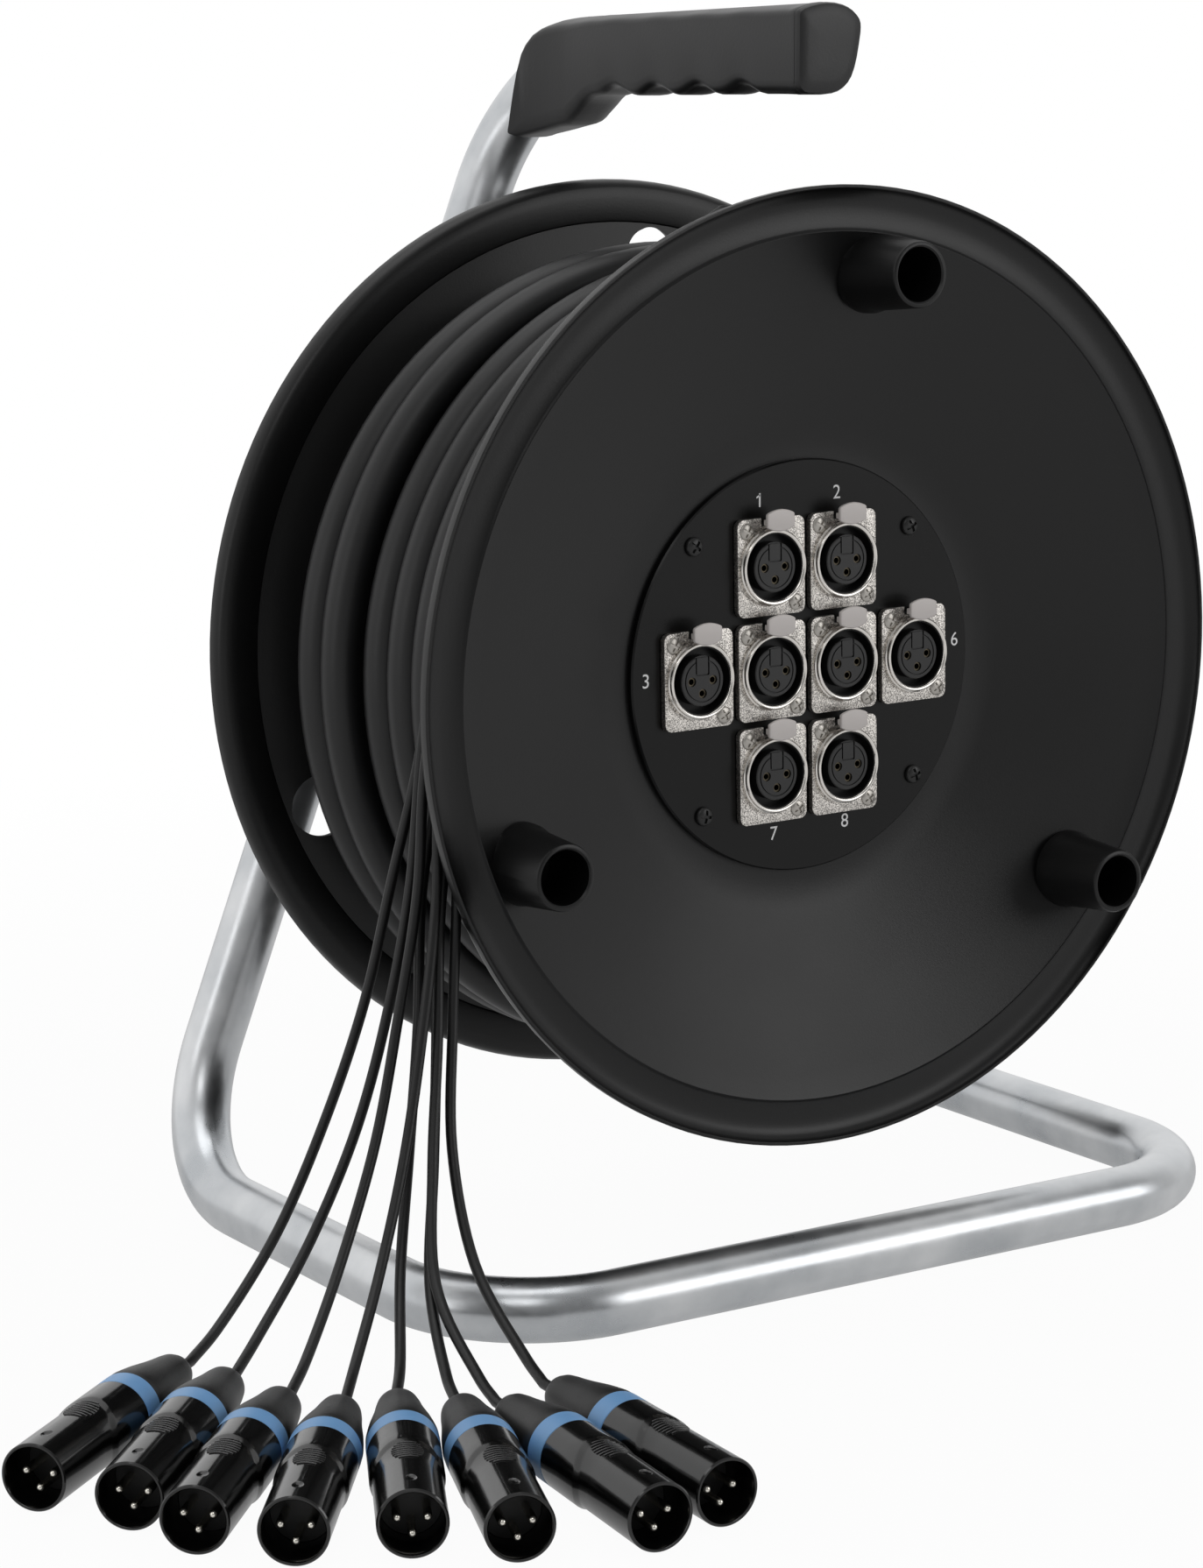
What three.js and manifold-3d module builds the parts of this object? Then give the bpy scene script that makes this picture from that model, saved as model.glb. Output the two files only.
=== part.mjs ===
// Stage box snake: a cable drum that turns in a bent steel tube frame. Its front flange
// holds a round panel with eight three-pole sockets, a multicore cable is wound on it,
// and the cable's free end fans out into eight thin tails, each with a plug on the floor.
// Millimetres, +Z up, the panel faces -Y. The origin is on the floor, under the middle
// of the frame.
import * as THREE from "three";
import { mergeVertices } from "three/addons/utils/BufferGeometryUtils.js";
import Module from "manifold-3d";

const wasm = await Module();
wasm.setup();

// Clearances
const SEAT_GAP = 0.3; // between two pieces that touch
const CUT_OVERRUN = 1; // how far a cutting solid runs past the face that it cuts
const CABLE_CLEAR = 0.5; // between the wound cable and the flanges

// Steel tube frame
const TUBE_OD = 20;
const TUBE_WALL = 2;
const BEND_R = 48; // of the tube's centre line
const AXIS_HEIGHT = 192.5; // the drum's axis above the floor
const BASE_WIDTH = 298; // between the centres of the two side bars
const FRONT_BAR_AHEAD = 90.6; // centre of the front bar, ahead of the drum's middle
const LEGS_BEHIND = 111.4; // plane of the two legs, behind the drum's middle
const HAND_ROOM = 26.9; // between the drum's rim and the grip's collar above it
const HANDLE_LEFT = 3.2; // centre of the handle tube left of the drum's axis
const TUBE_SIDES = 12;
const BORE_SIDES = 6;
const BEND_STEPS = 5;
const CORNER_STEPS = 2; // in the rounded corners of plates
const WELD_BEAD = 1; // how far the weld stands out round the short leg's end
const WELD_LENGTH = 4; // how far it reaches down the short leg

// Axle, fixed in the short leg, and what runs on it
const AXLE_SHANK_R = 6;
const AXLE_SHOULDER_R = 12;
const JOURNAL_R = 8;
const HUB_R = 16;
const HUB_OUT = 26; // how far the hub stands out behind the rear flange's flat
const HUB_IN = 12; // and how far it reaches into the drum
const BUSH_WALL = 2;
const HUB_PLAY = 0.5; // between the hub and the axle's shoulder
const WASHER_R = 15;
const WASHER_T = 1.6;
const CLIP_R = 10.5;
const CLIP_T = 1.2;
const CLIP_GROOVE = 1; // depth of the groove in the axle
const CLIP_MOUTH = 6; // opening of the clip's ring
const AXLE_NOSE = 4; // axle left past its groove

// Drum, radii from its axis
const FLANGE_R = 152.5;
const FLANGE_WALL = 3.2;
const FLANGE_SPAN = 137; // from lip to lip
const LIP_DEPTH = 22.2; // from a flange's flat centre out to its lip
const CONE_DEPTH = 19.7; // from the flat centre out to the crease
const CREASE_R = 138.4;
const BAND_DEPTH = 3.6; // hollow of the rim band behind the crease
const bandShares = [[0.1, 0.55], [0.5, 1], [0.82, 0.28]]; // of the band's width and depth
const FLAT_R = 73;
const PANEL_HOLE_R = 55.8;
const BARREL_R = 73;
const BARREL_WALL = 3;
const DRUM_SEGMENTS = 36;

// Three stacking bosses on the front flange, and their holes in the rear flange
const LUG_COUNT = 3;
const LUG_TO_CREASE = 0.4; // between a boss's root and the crease
const LUG_FIRST_ANGLE = 83.2; // degrees from +X, turning towards +Z
const LUG_LENGTH = 25; // from the flange's face to the end of the boss
const LUG_ROOT_R = 12;
const LUG_END_R = 10.2;
const LUG_BORE_R = 8.5;
const LUG_BORE_DEPTH = 22;
const LUG_HOLE_R = 10.8;
const LUG_SEGMENTS = 12;

// Connector panel and its four screws
const PANEL_R = 66.4;
const PANEL_T = 2;
const PANEL_ROLL = 1.1; // degrees that the socket pattern is turned on the drum
const SOCKET_PITCH_X = 28.4;
const SOCKET_PITCH_Z = 33.4;
const socketShares = [
  [-0.5, 1], [0.5, 1], [-1.5, 0], [-0.5, 0], [0.5, 0], [1.5, 0], [-0.5, -1], [0.5, -1],
]; // of the two pitches
const PANEL_SCREW_CIRCLE_R = 59.6;
const PANEL_SCREW_ANGLES = [45.5, 136.5, 229, 318.5]; // degrees
const PANEL_SCREW_R = 1.5;
const PANEL_SCREW_HEAD_R = 3.1;
const PANEL_SCREW_HEAD_T = 1.8;
const SCREW_CLEAR = 0.3;
const SCREW_SEGMENTS = 8;

// Chassis sockets
const PLATE_W = 26;
const PLATE_H = 31;
const PLATE_T = 2.2;
const PLATE_CORNER = 2.5;
const SOCKET_BODY_R = 11.5;
const SOCKET_BODY_DEPTH = 20; // behind the plate
const SOCKET_HOLE_R = 12.2;
const RING_R = 12.5;
const RING_PROUD = 2.4;
const MOUTH_R = 10.7;
const INSERT_R = 8;
const MOUTH_DEPTH = 12;
const CONTACT_CIRCLE_R = 4;
const CONTACT_ANGLES = [180, 0, 270]; // degrees
const CONTACT_HOLE_R = 1.3;
const CONTACT_DEPTH = 8;
const SOCKET_SEGMENTS = 12;
const HOLE_SEGMENTS = 6;

// Push tabs, which slide into the sockets' plates
const TAB_W = 10.8;
const TAB_H = 7;
const TAB_T = 1.4;
const TAB_RISE = 15.2; // centre of the tab above the centre of the socket
const TAB_TRAVEL = 1.5;
const STEM_W = 5;
const STEM_H = 1.8;
const TAB_PLAY = 0.4;
const TAB_SEGMENTS = 12;

// Wound multicore cable
const CABLE_OD = 14;
const WIND_R = 124; // centre of the lower turns
const LAYER_RISE = 7; // the last turns lie this much higher
const WIND_PITCH = 14.8;
const WIND_AHEAD = 40.1; // first turn at nine o'clock, ahead of the drum's middle
const WIND_SWAY = 5; // turns lie this far forward of their place at three o'clock
const WIND_START = 80; // degrees, from +X towards +Z
const WIND_END = 2180;
const CLIMB_START = 1400; // where the cable climbs to the upper layer
const CLIMB_END = 1500;
const SINK_ANGLE = 72; // degrees round the drum, where the last turns sink into the layer below
const SINK_HALF = 80; // degrees that the dip reaches to either side
const SINK_SHARE = 0.85; // of the rise, lost in the middle of the dip
const LOOP_STEPS = 24;
const CABLE_SIDES = 6;
const CORE_TAIL = 39.4; // where the plain core drops, next to the rear flange
const CORE_FOOT = 7; // how much it drops there

// Free end of the multicore, its breakout boot and the tails
const BOOT_R = 9;
const BOOT_END_R = 7.5;
const BOOT_LENGTH = 34;
const BOOT_ANGLE = 92; // degrees of its middle round the drum
const BOOT_LIFT = 140.8; // its axis from the drum's axis
const BOOT_Y = -46; // along the drum's axis
const BOOT_SEGMENTS = 12;
const TAIL_OD = 3.3;
const TAIL_RING_R = 4.7; // seven tails leave the boot on this circle, one in its middle
const TAIL_RING_TURN = 11.5; // degrees
const TAIL_SLOTS = [2, 1, 0, 6, 3, -1, 4, 5]; // place of each tail on the circle, -1 the middle
const TAIL_STRAIGHT = 8; // the tails leave the boot and enter the plugs straight
const CORD_SIDES = 8;
const TAIL_STEPS = 30;
const CABLE_END_STEPS = 14;

// Cable plugs
const PLUG_FACE_R = 9.5;
const PLUG_REAR_R = 10.2;
const PLUG_NECK = 30; // length of the slim front part
const PLUG_SHOULDER = 2; // length of the slope behind it
const PLUG_SHELL = 50;
const PLUG_CUP_R = 8.2;
const PLUG_CUP_DEPTH = 14;
const PLUG_PIN_R = 1.2;
const PLUG_PIN_LENGTH = 11;
const PLUG_PIN_CIRCLE_R = 4;
const PLUG_BAND = 8; // the coloured band behind the shell
const PLUG_LENGTH = 91;
const PLUG_TAIL_R = 5.6;
const PLUG_HEADINGS = [-141.9, -134.2, -133.2, -127.2, -117.9, -111.6, -96.5, -93.5]; // degrees
const PLUG_SEGMENTS = 12;

// Moulded grip on the handle tube
const GRIP_WIDTH = 23;
const GRIP_HALF_H = 13; // above and below the tube's centre
const GRIP_LENGTH = 164;
const GRIP_REACH = 66.6; // its front face ahead of the drum's middle
const COLLAR_LENGTH = 14;
const COLLAR_RISE = 1.4;
const FINGER_PITCH = 25;
const FINGER_R = 9;
const FINGER_DEPTH = 3;
const FINGER_COUNT = 4;
const FINGER_SEGMENTS = 10;
const FINGER_FIRST = 62; // first groove behind the grip's front face
const CAP_T = 2.5;
const SPIGOT_LENGTH = 12;
const GRIP_CORNER = 4;
// Top, rear skirt and underside, as shares of the grip's length and of its half height
const gripSideShares = [
  [0.72, 1], [0.87, 1], [0.955, 0], [1, -2.08], [0.83, -1.84], [0.77, -1.3], [0.72, -1],
];

const TUBE_R = TUBE_OD / 2;
const CABLE_R = CABLE_OD / 2;
const FLAT_Y = FLANGE_SPAN / 2 - LIP_DEPTH; // outer face of a flange's flat centre
const CREASE_Y = FLAT_Y + CONE_DEPTH;
const LIP_Y = FLANGE_SPAN / 2;
const PANEL_Y = -(FLAT_Y + SEAT_GAP + PANEL_T); // the panel's front face
const DRUM_Y = (FRONT_BAR_AHEAD - LEGS_BEHIND) / 2;
const BASE_Z = TUBE_R - AXIS_HEIGHT;
const MERGE_WITHIN = 1e-3;
const radians = THREE.MathUtils.degToRad;

const materials = {
  steel: { color: 0xb9bdc0, roughness: 0.35, metalness: 0.9 },
  nickel: { color: 0xcfcac2, roughness: 0.35, metalness: 0.9 },
  blackPlastic: { color: 0x161617, roughness: 0.5, metalness: 0 },
  glossBlack: { color: 0x0c0c0d, roughness: 0.15, metalness: 0 },
  cable: { color: 0x222326, roughness: 0.6, metalness: 0 },
  rubber: { color: 0x1b1b1c, roughness: 0.8, metalness: 0 },
  screw: { color: 0x1d1d1f, roughness: 0.4, metalness: 0.6 },
  paleMetal: { color: 0xd9d2c8, roughness: 0.4, metalness: 0.7 },
  bronze: { color: 0x9c7a4c, roughness: 0.45, metalness: 0.8 },
};

// Solids

function toSolid(geometry) {
  const bare = geometry.clone();
  bare.deleteAttribute("normal");
  bare.deleteAttribute("uv");
  const merged = mergeVertices(bare, MERGE_WITHIN);
  const mesh = new wasm.Mesh({
    numProp: 3,
    vertProperties: new Float32Array(merged.attributes.position.array),
    triVerts: new Uint32Array(merged.index.array),
  });
  return new wasm.Manifold(mesh);
}

function toGeometry(solid) {
  const mesh = solid.getMesh();
  const geometry = new THREE.BufferGeometry();
  geometry.setAttribute("position", new THREE.BufferAttribute(new Float32Array(mesh.vertProperties), 3));
  geometry.setIndex(new THREE.BufferAttribute(new Uint32Array(mesh.triVerts), 1));
  geometry.computeVertexNormals();
  return geometry;
}

function join(first, ...others) {
  return toGeometry(others.reduce((solid, other) => solid.add(toSolid(other)), toSolid(first)));
}

function cut(first, ...others) {
  return toGeometry(others.reduce((solid, other) => solid.subtract(toSolid(other)), toSolid(first)));
}

// A solid of revolution about Y. The outline runs anticlockwise with the radius to the right.
function turned(outline, segments) {
  const points = outline.map(([radius, y]) => new THREE.Vector2(radius, y));
  return new THREE.LatheGeometry(points, segments);
}

// A closed ring of revolution: its outline ends where it starts.
function turnedRing(outline, segments) {
  return turned([...outline, outline[0]], segments);
}

function rodY(radius, from, to, segments, endRadius = radius) {
  const rod = new THREE.CylinderGeometry(endRadius, radius, to - from, segments);
  return rod.translate(0, (from + to) / 2, 0);
}

function block(width, depth, height, x, y, z) {
  return new THREE.BoxGeometry(width, depth, height).translate(x, y, z);
}

// A regular section whose flats lie at the given radius and face the section's own axes.
function evenSection(radius, sides) {
  const corner = radius / Math.cos(Math.PI / sides);
  const points = [];
  for (let i = 0; i < sides; i += 1) {
    const angle = ((i + 0.5) * 2 * Math.PI) / sides;
    points.push(new THREE.Vector2(corner * Math.cos(angle), corner * Math.sin(angle)));
  }
  return new THREE.Shape(points);
}

function roundedPlate(width, height, corner, depth, cornerSteps) {
  const x = width / 2 - corner;
  const z = height / 2 - corner;
  const shape = new THREE.Shape();
  shape.absarc(x, z, corner, 0, Math.PI / 2);
  shape.absarc(-x, z, corner, Math.PI / 2, Math.PI);
  shape.absarc(-x, -z, corner, Math.PI, 1.5 * Math.PI);
  shape.absarc(x, -z, corner, 1.5 * Math.PI, 2 * Math.PI);
  shape.closePath();
  const plate = new THREE.ExtrudeGeometry(shape, { depth, bevelEnabled: false, curveSegments: cornerSteps });
  return plate.rotateX(Math.PI / 2); // its back on y = 0 and its front at y = -depth
}

// A path through given points. Its sections keep one side turned up along level stretches.
class Route extends THREE.Curve {
  constructor(points, up, anchor = 0) {
    super();
    this.points = points;
    this.up = up;
    this.anchor = anchor;
  }

  getPoint(t, target = new THREE.Vector3()) {
    const place = t * (this.points.length - 1);
    const i = Math.min(Math.floor(place), this.points.length - 2);
    return target.lerpVectors(this.points[i], this.points[i + 1], place - i);
  }

  getPointAt(t, target) {
    return this.getPoint(t, target);
  }

  directions() {
    const legs = this.points.slice(1).map((point, i) => point.clone().sub(this.points[i]).normalize());
    const inner = legs.slice(1).map((leg, i) => leg.clone().add(legs[i]).normalize());
    return [legs[0], ...inner, legs[legs.length - 1]];
  }

  computeFrenetFrames() {
    const tangents = this.directions();
    const count = tangents.length;
    const normals = new Array(count);
    const first = this.up.clone().addScaledVector(tangents[this.anchor], -this.up.dot(tangents[this.anchor]));
    normals[this.anchor] = first.normalize();
    const turn = new THREE.Quaternion();
    const carry = (from, to) => {
      turn.setFromUnitVectors(tangents[from], tangents[to]);
      normals[to] = normals[from].clone().applyQuaternion(turn);
    };
    for (let i = this.anchor; i < count - 1; i += 1) carry(i, i + 1);
    for (let i = this.anchor; i > 0; i -= 1) carry(i, i - 1);
    const binormals = normals.map((normal, i) => new THREE.Vector3().crossVectors(tangents[i], normal));
    return { tangents, normals, binormals };
  }
}

function tubeAlong(points, radius, sides, up, anchor) {
  const steps = points.length - 1;
  const extrudePath = new Route(points, up, anchor);
  return new THREE.ExtrudeGeometry(evenSection(radius, sides), { steps, extrudePath });
}

// The corner points of a path, with each inner corner bent to a radius.
function bent(corners, radius, steps) {
  const points = [corners[0]];
  for (let i = 1; i < corners.length - 1; i += 1) {
    const into = corners[i - 1].clone().sub(corners[i]).normalize();
    const out = corners[i + 1].clone().sub(corners[i]).normalize();
    const half = into.angleTo(out) / 2;
    const middle = into.clone().add(out).normalize();
    const centre = corners[i].clone().addScaledVector(middle, radius / Math.sin(half));
    const from = corners[i].clone().addScaledVector(into, radius / Math.tan(half)).sub(centre);
    const axis = new THREE.Vector3().crossVectors(from, middle.clone().negate()).normalize();
    const sweep = Math.PI - 2 * half;
    for (let step = 0; step <= steps; step += 1) {
      points.push(from.clone().applyAxisAngle(axis, (sweep * step) / steps).add(centre));
    }
  }
  points.push(corners[corners.length - 1]);
  return points;
}

function polar(radius, degrees, y) {
  const angle = radians(degrees);
  return new THREE.Vector3(radius * Math.cos(angle), y, radius * Math.sin(angle));
}

// Scene graph: everything but the free cords hangs on the drum's centre.
const stageBox = new THREE.Group();
const onAxis = new THREE.Group();
onAxis.position.set(0, DRUM_Y, AXIS_HEIGHT);
stageBox.add(onAxis);

function addPiece(name, geometry, look, parent = onAxis) {
  const mesh = new THREE.Mesh(geometry, new THREE.MeshStandardMaterial(materials[look]));
  mesh.name = name;
  parent.add(mesh);
  return mesh;
}

// Frame: one bent tube. It starts as the handle, falls as the long leg, runs round the
// base and comes back up as the short leg, whose end is welded to the long leg.
const HALF_WIDTH = BASE_WIDTH / 2;
const handleRise = FLANGE_R + HAND_ROOM + GRIP_HALF_H + COLLAR_RISE; // above the drum's axis
const handleRear = new THREE.Vector3(-HANDLE_LEFT, LEGS_BEHIND, handleRise);
const rearLeft = new THREE.Vector3(-HALF_WIDTH, LEGS_BEHIND, BASE_Z);
const rearRight = new THREE.Vector3(HALF_WIDTH, LEGS_BEHIND, BASE_Z);

// The short leg runs through the drum's axis; this is where it meets the long leg.
function legCrossing() {
  const rise = handleRise - BASE_Z;
  const lean = (HALF_WIDTH - HANDLE_LEFT) / rise;
  const slope = HALF_WIDTH / BASE_Z;
  const z = (-HALF_WIDTH - lean * BASE_Z) / (slope - lean);
  return new THREE.Vector3(slope * z, LEGS_BEHIND, z);
}

function framePath(handleEnd, lastPoint) {
  return bent(
    [
      handleEnd,
      handleRear,
      rearLeft,
      new THREE.Vector3(-HALF_WIDTH, -FRONT_BAR_AHEAD, BASE_Z),
      new THREE.Vector3(HALF_WIDTH, -FRONT_BAR_AHEAD, BASE_Z),
      rearRight,
      lastPoint,
    ],
    BEND_R,
    BEND_STEPS,
  );
}

const handleEndY = CAP_T + 2 * SEAT_GAP - GRIP_REACH;
const weldPoint = legCrossing();
const UP = new THREE.Vector3(0, 0, 1);
const frontBarAt = 3 * (BEND_STEPS + 1); // first point of the front bar
const handleEnd = new THREE.Vector3(-HANDLE_LEFT, handleEndY, handleRise);
const shortLeg = weldPoint.clone().sub(rearRight).normalize();
const longLeg = handleRear.clone().sub(rearLeft).normalize();
const weldReach = TUBE_R / Math.sin(shortLeg.angleTo(longLeg)) + TUBE_WALL;
const shortLegEnd = weldPoint.clone().addScaledVector(shortLeg, -weldReach);
const weldEnd = shortLegEnd.clone().addScaledVector(shortLeg, -WELD_LENGTH);
const boreEnd = weldEnd.clone().addScaledVector(shortLeg, WELD_LENGTH / 2);
const boreStart = handleEnd.clone().setY(handleEndY - CUT_OVERRUN);
addPiece(
  "frame_tube",
  cut(
    join(
      tubeAlong(framePath(handleEnd, shortLegEnd), TUBE_R, TUBE_SIDES, UP, frontBarAt),
      tubeAlong([weldEnd, weldPoint], TUBE_R + WELD_BEAD, TUBE_SIDES, UP, 0),
    ),
    tubeAlong(framePath(boreStart, boreEnd), TUBE_R - TUBE_WALL, BORE_SIDES, UP, frontBarAt),
    rodY(
      AXLE_SHANK_R + SEAT_GAP,
      LEGS_BEHIND - TUBE_R - CUT_OVERRUN,
      LEGS_BEHIND + TUBE_R + CUT_OVERRUN,
      LUG_SEGMENTS,
    ),
  ),
  "steel",
);

// Axle: a stepped pin through the short leg, with a groove for its clip
const hubRear = FLAT_Y + HUB_OUT;
const hubFront = FLAT_Y - FLANGE_WALL - HUB_IN;
const washerFront = hubFront - SEAT_GAP - WASHER_T;
const clipFront = washerFront - SEAT_GAP - CLIP_T;
const axleNose = clipFront - SEAT_GAP - AXLE_NOSE;
const shoulderFront = hubRear + HUB_PLAY;
const shoulderRear = LEGS_BEHIND - TUBE_R - SEAT_GAP;
addPiece(
  "axle",
  turned(
    [
      [0, axleNose],
      [JOURNAL_R, axleNose],
      [JOURNAL_R, clipFront - SEAT_GAP],
      [JOURNAL_R - CLIP_GROOVE, clipFront - SEAT_GAP],
      [JOURNAL_R - CLIP_GROOVE, clipFront + CLIP_T + SEAT_GAP],
      [JOURNAL_R, clipFront + CLIP_T + SEAT_GAP],
      [JOURNAL_R, shoulderFront],
      [AXLE_SHOULDER_R, shoulderFront],
      [AXLE_SHOULDER_R, shoulderRear],
      [AXLE_SHANK_R, shoulderRear],
      [AXLE_SHANK_R, LEGS_BEHIND + TUBE_R],
      [0, LEGS_BEHIND + TUBE_R],
    ],
    LUG_SEGMENTS,
  ),
  "steel",
);

function ringY(inner, outer, from, to, segments) {
  return turnedRing([[inner, from], [outer, from], [outer, to], [inner, to]], segments);
}

addPiece(
  "axle_washer",
  ringY(JOURNAL_R + SEAT_GAP, WASHER_R, washerFront, washerFront + WASHER_T, LUG_SEGMENTS),
  "steel",
);
addPiece(
  "axle_clip",
  cut(
    ringY(JOURNAL_R - CLIP_GROOVE + SEAT_GAP, CLIP_R, clipFront, clipFront + CLIP_T, LUG_SEGMENTS),
    block(CLIP_MOUTH, 2 * CLIP_R, CLIP_R, 0, clipFront, CLIP_R),
  ),
  "steel",
);
addPiece(
  "hub_bush",
  ringY(JOURNAL_R + SEAT_GAP, JOURNAL_R + SEAT_GAP + BUSH_WALL, hubFront, hubRear, LUG_SEGMENTS),
  "bronze",
);

// Flanges: each a dished disc with a flat centre, a cone, a crease and a hollow rim band.
// The outline is the front flange's; the rear one is its mirror image.
function flangeOutline(holeR) {
  const bandWidth = FLANGE_R - CREASE_R;
  const outer = [
    [holeR, -FLAT_Y],
    [FLAT_R, -FLAT_Y],
    [CREASE_R, -CREASE_Y],
    ...bandShares.map(([across, deep]) => [CREASE_R + across * bandWidth, deep * BAND_DEPTH - CREASE_Y]),
    [FLANGE_R, -LIP_Y],
  ];
  const inner = outer.map(([radius, y]) => [radius, y + FLANGE_WALL]).reverse();
  return [...outer, ...inner];
}

function flangeFace(radius) {
  return FLAT_Y + ((radius - FLAT_R) * CONE_DEPTH) / (CREASE_R - FLAT_R);
}

const lugCircle = CREASE_R - LUG_TO_CREASE - LUG_ROOT_R;

function lugPlaces() {
  const places = [];
  for (let i = 0; i < LUG_COUNT; i += 1) {
    places.push(polar(lugCircle, LUG_FIRST_ANGLE + (360 * i) / LUG_COUNT, 0));
  }
  return places;
}

const screwPlaces = PANEL_SCREW_ANGLES.map((degrees) => polar(PANEL_SCREW_CIRCLE_R, degrees, 0));

function screwHoles(from, to) {
  return screwPlaces.map((place) =>
    rodY(PANEL_SCREW_R + SCREW_CLEAR, from, to, SCREW_SEGMENTS).translate(place.x, 0, place.z),
  );
}

const lugFace = -flangeFace(lugCircle);
const lugEnd = lugFace - LUG_LENGTH;
const frontBosses = lugPlaces().map((place) =>
  rodY(LUG_END_R, lugEnd, lugFace + FLANGE_WALL / 2, LUG_SEGMENTS, LUG_ROOT_R).translate(place.x, 0, place.z),
);
const frontBores = lugPlaces().map((place) =>
  rodY(LUG_BORE_R, lugEnd - CUT_OVERRUN, lugEnd + LUG_BORE_DEPTH, LUG_SEGMENTS)
    .translate(place.x, 0, place.z),
);
addPiece(
  "front_flange",
  cut(
    join(turnedRing(flangeOutline(PANEL_HOLE_R), DRUM_SEGMENTS), ...frontBosses),
    ...frontBores,
    ...screwHoles(-FLAT_Y - CUT_OVERRUN, FLANGE_WALL - FLAT_Y + CUT_OVERRUN),
  ),
  "blackPlastic",
);

const hubBore = JOURNAL_R + BUSH_WALL + 2 * SEAT_GAP;
const rearOutline = flangeOutline(hubBore)
  .map(([radius, y]) => [radius, -y])
  .reverse();
const rearHoles = lugPlaces().map((place) =>
  rodY(
    LUG_HOLE_R,
    -lugFace - 2 * LUG_BORE_R,
    -lugFace + 2 * LUG_BORE_R,
    LUG_SEGMENTS,
  ).translate(place.x, 0, place.z),
);
addPiece(
  "rear_flange",
  cut(
    join(turnedRing(rearOutline, DRUM_SEGMENTS), ringY(hubBore, HUB_R, hubFront, hubRear, LUG_SEGMENTS)),
    ...rearHoles,
  ),
  "blackPlastic",
);

// Barrel between the flanges' flat centres
const barrelEnd = FLAT_Y - FLANGE_WALL - SEAT_GAP;
addPiece(
  "drum_barrel",
  ringY(BARREL_R - BARREL_WALL, BARREL_R, -barrelEnd, barrelEnd, DRUM_SEGMENTS),
  "blackPlastic",
);

// Connector panel, turned with the sockets on it
function socketPlaces() {
  return socketShares.map(
    ([column, row]) => new THREE.Vector3(column * SOCKET_PITCH_X, 0, row * SOCKET_PITCH_Z),
  );
}

const roll = radians(-PANEL_ROLL);
const socketHoles = socketPlaces().map((place) =>
  rodY(SOCKET_HOLE_R, PANEL_Y - CUT_OVERRUN, PANEL_Y + PANEL_T + CUT_OVERRUN, SOCKET_SEGMENTS)
    .translate(place.x, 0, place.z)
    .rotateY(roll),
);
addPiece(
  "connector_panel",
  cut(
    rodY(PANEL_R, PANEL_Y, PANEL_Y + PANEL_T, DRUM_SEGMENTS),
    ...socketHoles,
    ...screwHoles(PANEL_Y - CUT_OVERRUN, PANEL_Y + PANEL_T + CUT_OVERRUN),
  ),
  "glossBlack",
);

const screwHeadRear = PANEL_Y - SEAT_GAP;
const screwTip = FLANGE_WALL - FLAT_Y;
screwPlaces.forEach((place, i) => {
  const head = rodY(PANEL_SCREW_HEAD_R, screwHeadRear - PANEL_SCREW_HEAD_T, screwHeadRear, SCREW_SEGMENTS);
  const shank = rodY(PANEL_SCREW_R, screwHeadRear - PANEL_SCREW_HEAD_T / 2, screwTip, SCREW_SEGMENTS);
  addPiece("panel_screw_" + (i + 1), join(head, shank).translate(place.x, 0, place.z), "screw");
});

// Sockets: plate, ring, insert with three contact holes, and the body behind the panel
function contactRods(circle, radius, from, to) {
  return CONTACT_ANGLES.map((degrees) => {
    const place = polar(circle, degrees, 0);
    return rodY(radius, from, to, HOLE_SEGMENTS).translate(place.x, 0, place.z);
  });
}

const plateRear = -SEAT_GAP;
const plateFront = plateRear - PLATE_T;
const ringFront = plateFront - RING_PROUD;
const stemZ = RING_R + TAB_PLAY + SEAT_GAP + STEM_H / 2;

function socketGeometry() {
  const plate = roundedPlate(PLATE_W, PLATE_H, PLATE_CORNER, PLATE_T, CORNER_STEPS);
  plate.translate(0, plateRear, 0);
  const ring = rodY(RING_R, ringFront, plateFront + PLATE_T / 2, SOCKET_SEGMENTS);
  const body = rodY(SOCKET_BODY_R, plateFront + PLATE_T / 2, SOCKET_BODY_DEPTH, SOCKET_SEGMENTS);
  const mouth = ringY(INSERT_R, MOUTH_R, ringFront - CUT_OVERRUN, ringFront + MOUTH_DEPTH, SOCKET_SEGMENTS);
  const contacts = contactRods(
    CONTACT_CIRCLE_R,
    CONTACT_HOLE_R,
    ringFront - CUT_OVERRUN,
    ringFront + CONTACT_DEPTH,
  );
  // A notch for the tab's stem, open through the plate's top edge
  const notchFloor = stemZ - STEM_H / 2 - TAB_PLAY;
  const notchHeight = PLATE_H / 2 - notchFloor + CUT_OVERRUN;
  const notch = block(
    STEM_W + 2 * TAB_PLAY,
    2 * (PLATE_T + RING_PROUD),
    notchHeight,
    0,
    plateFront,
    notchFloor + notchHeight / 2,
  );
  return cut(join(plate, ring, body), mouth, ...contacts, notch);
}

// Push tab: an oval pad on a stem that slides in the notch above the ring. Pressed home,
// the pad stops just short of the ring and the stem just short of the panel.
const tabRear = ringFront - SEAT_GAP - TAB_TRAVEL;
const stemRear = -2 * SEAT_GAP - TAB_TRAVEL;

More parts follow.
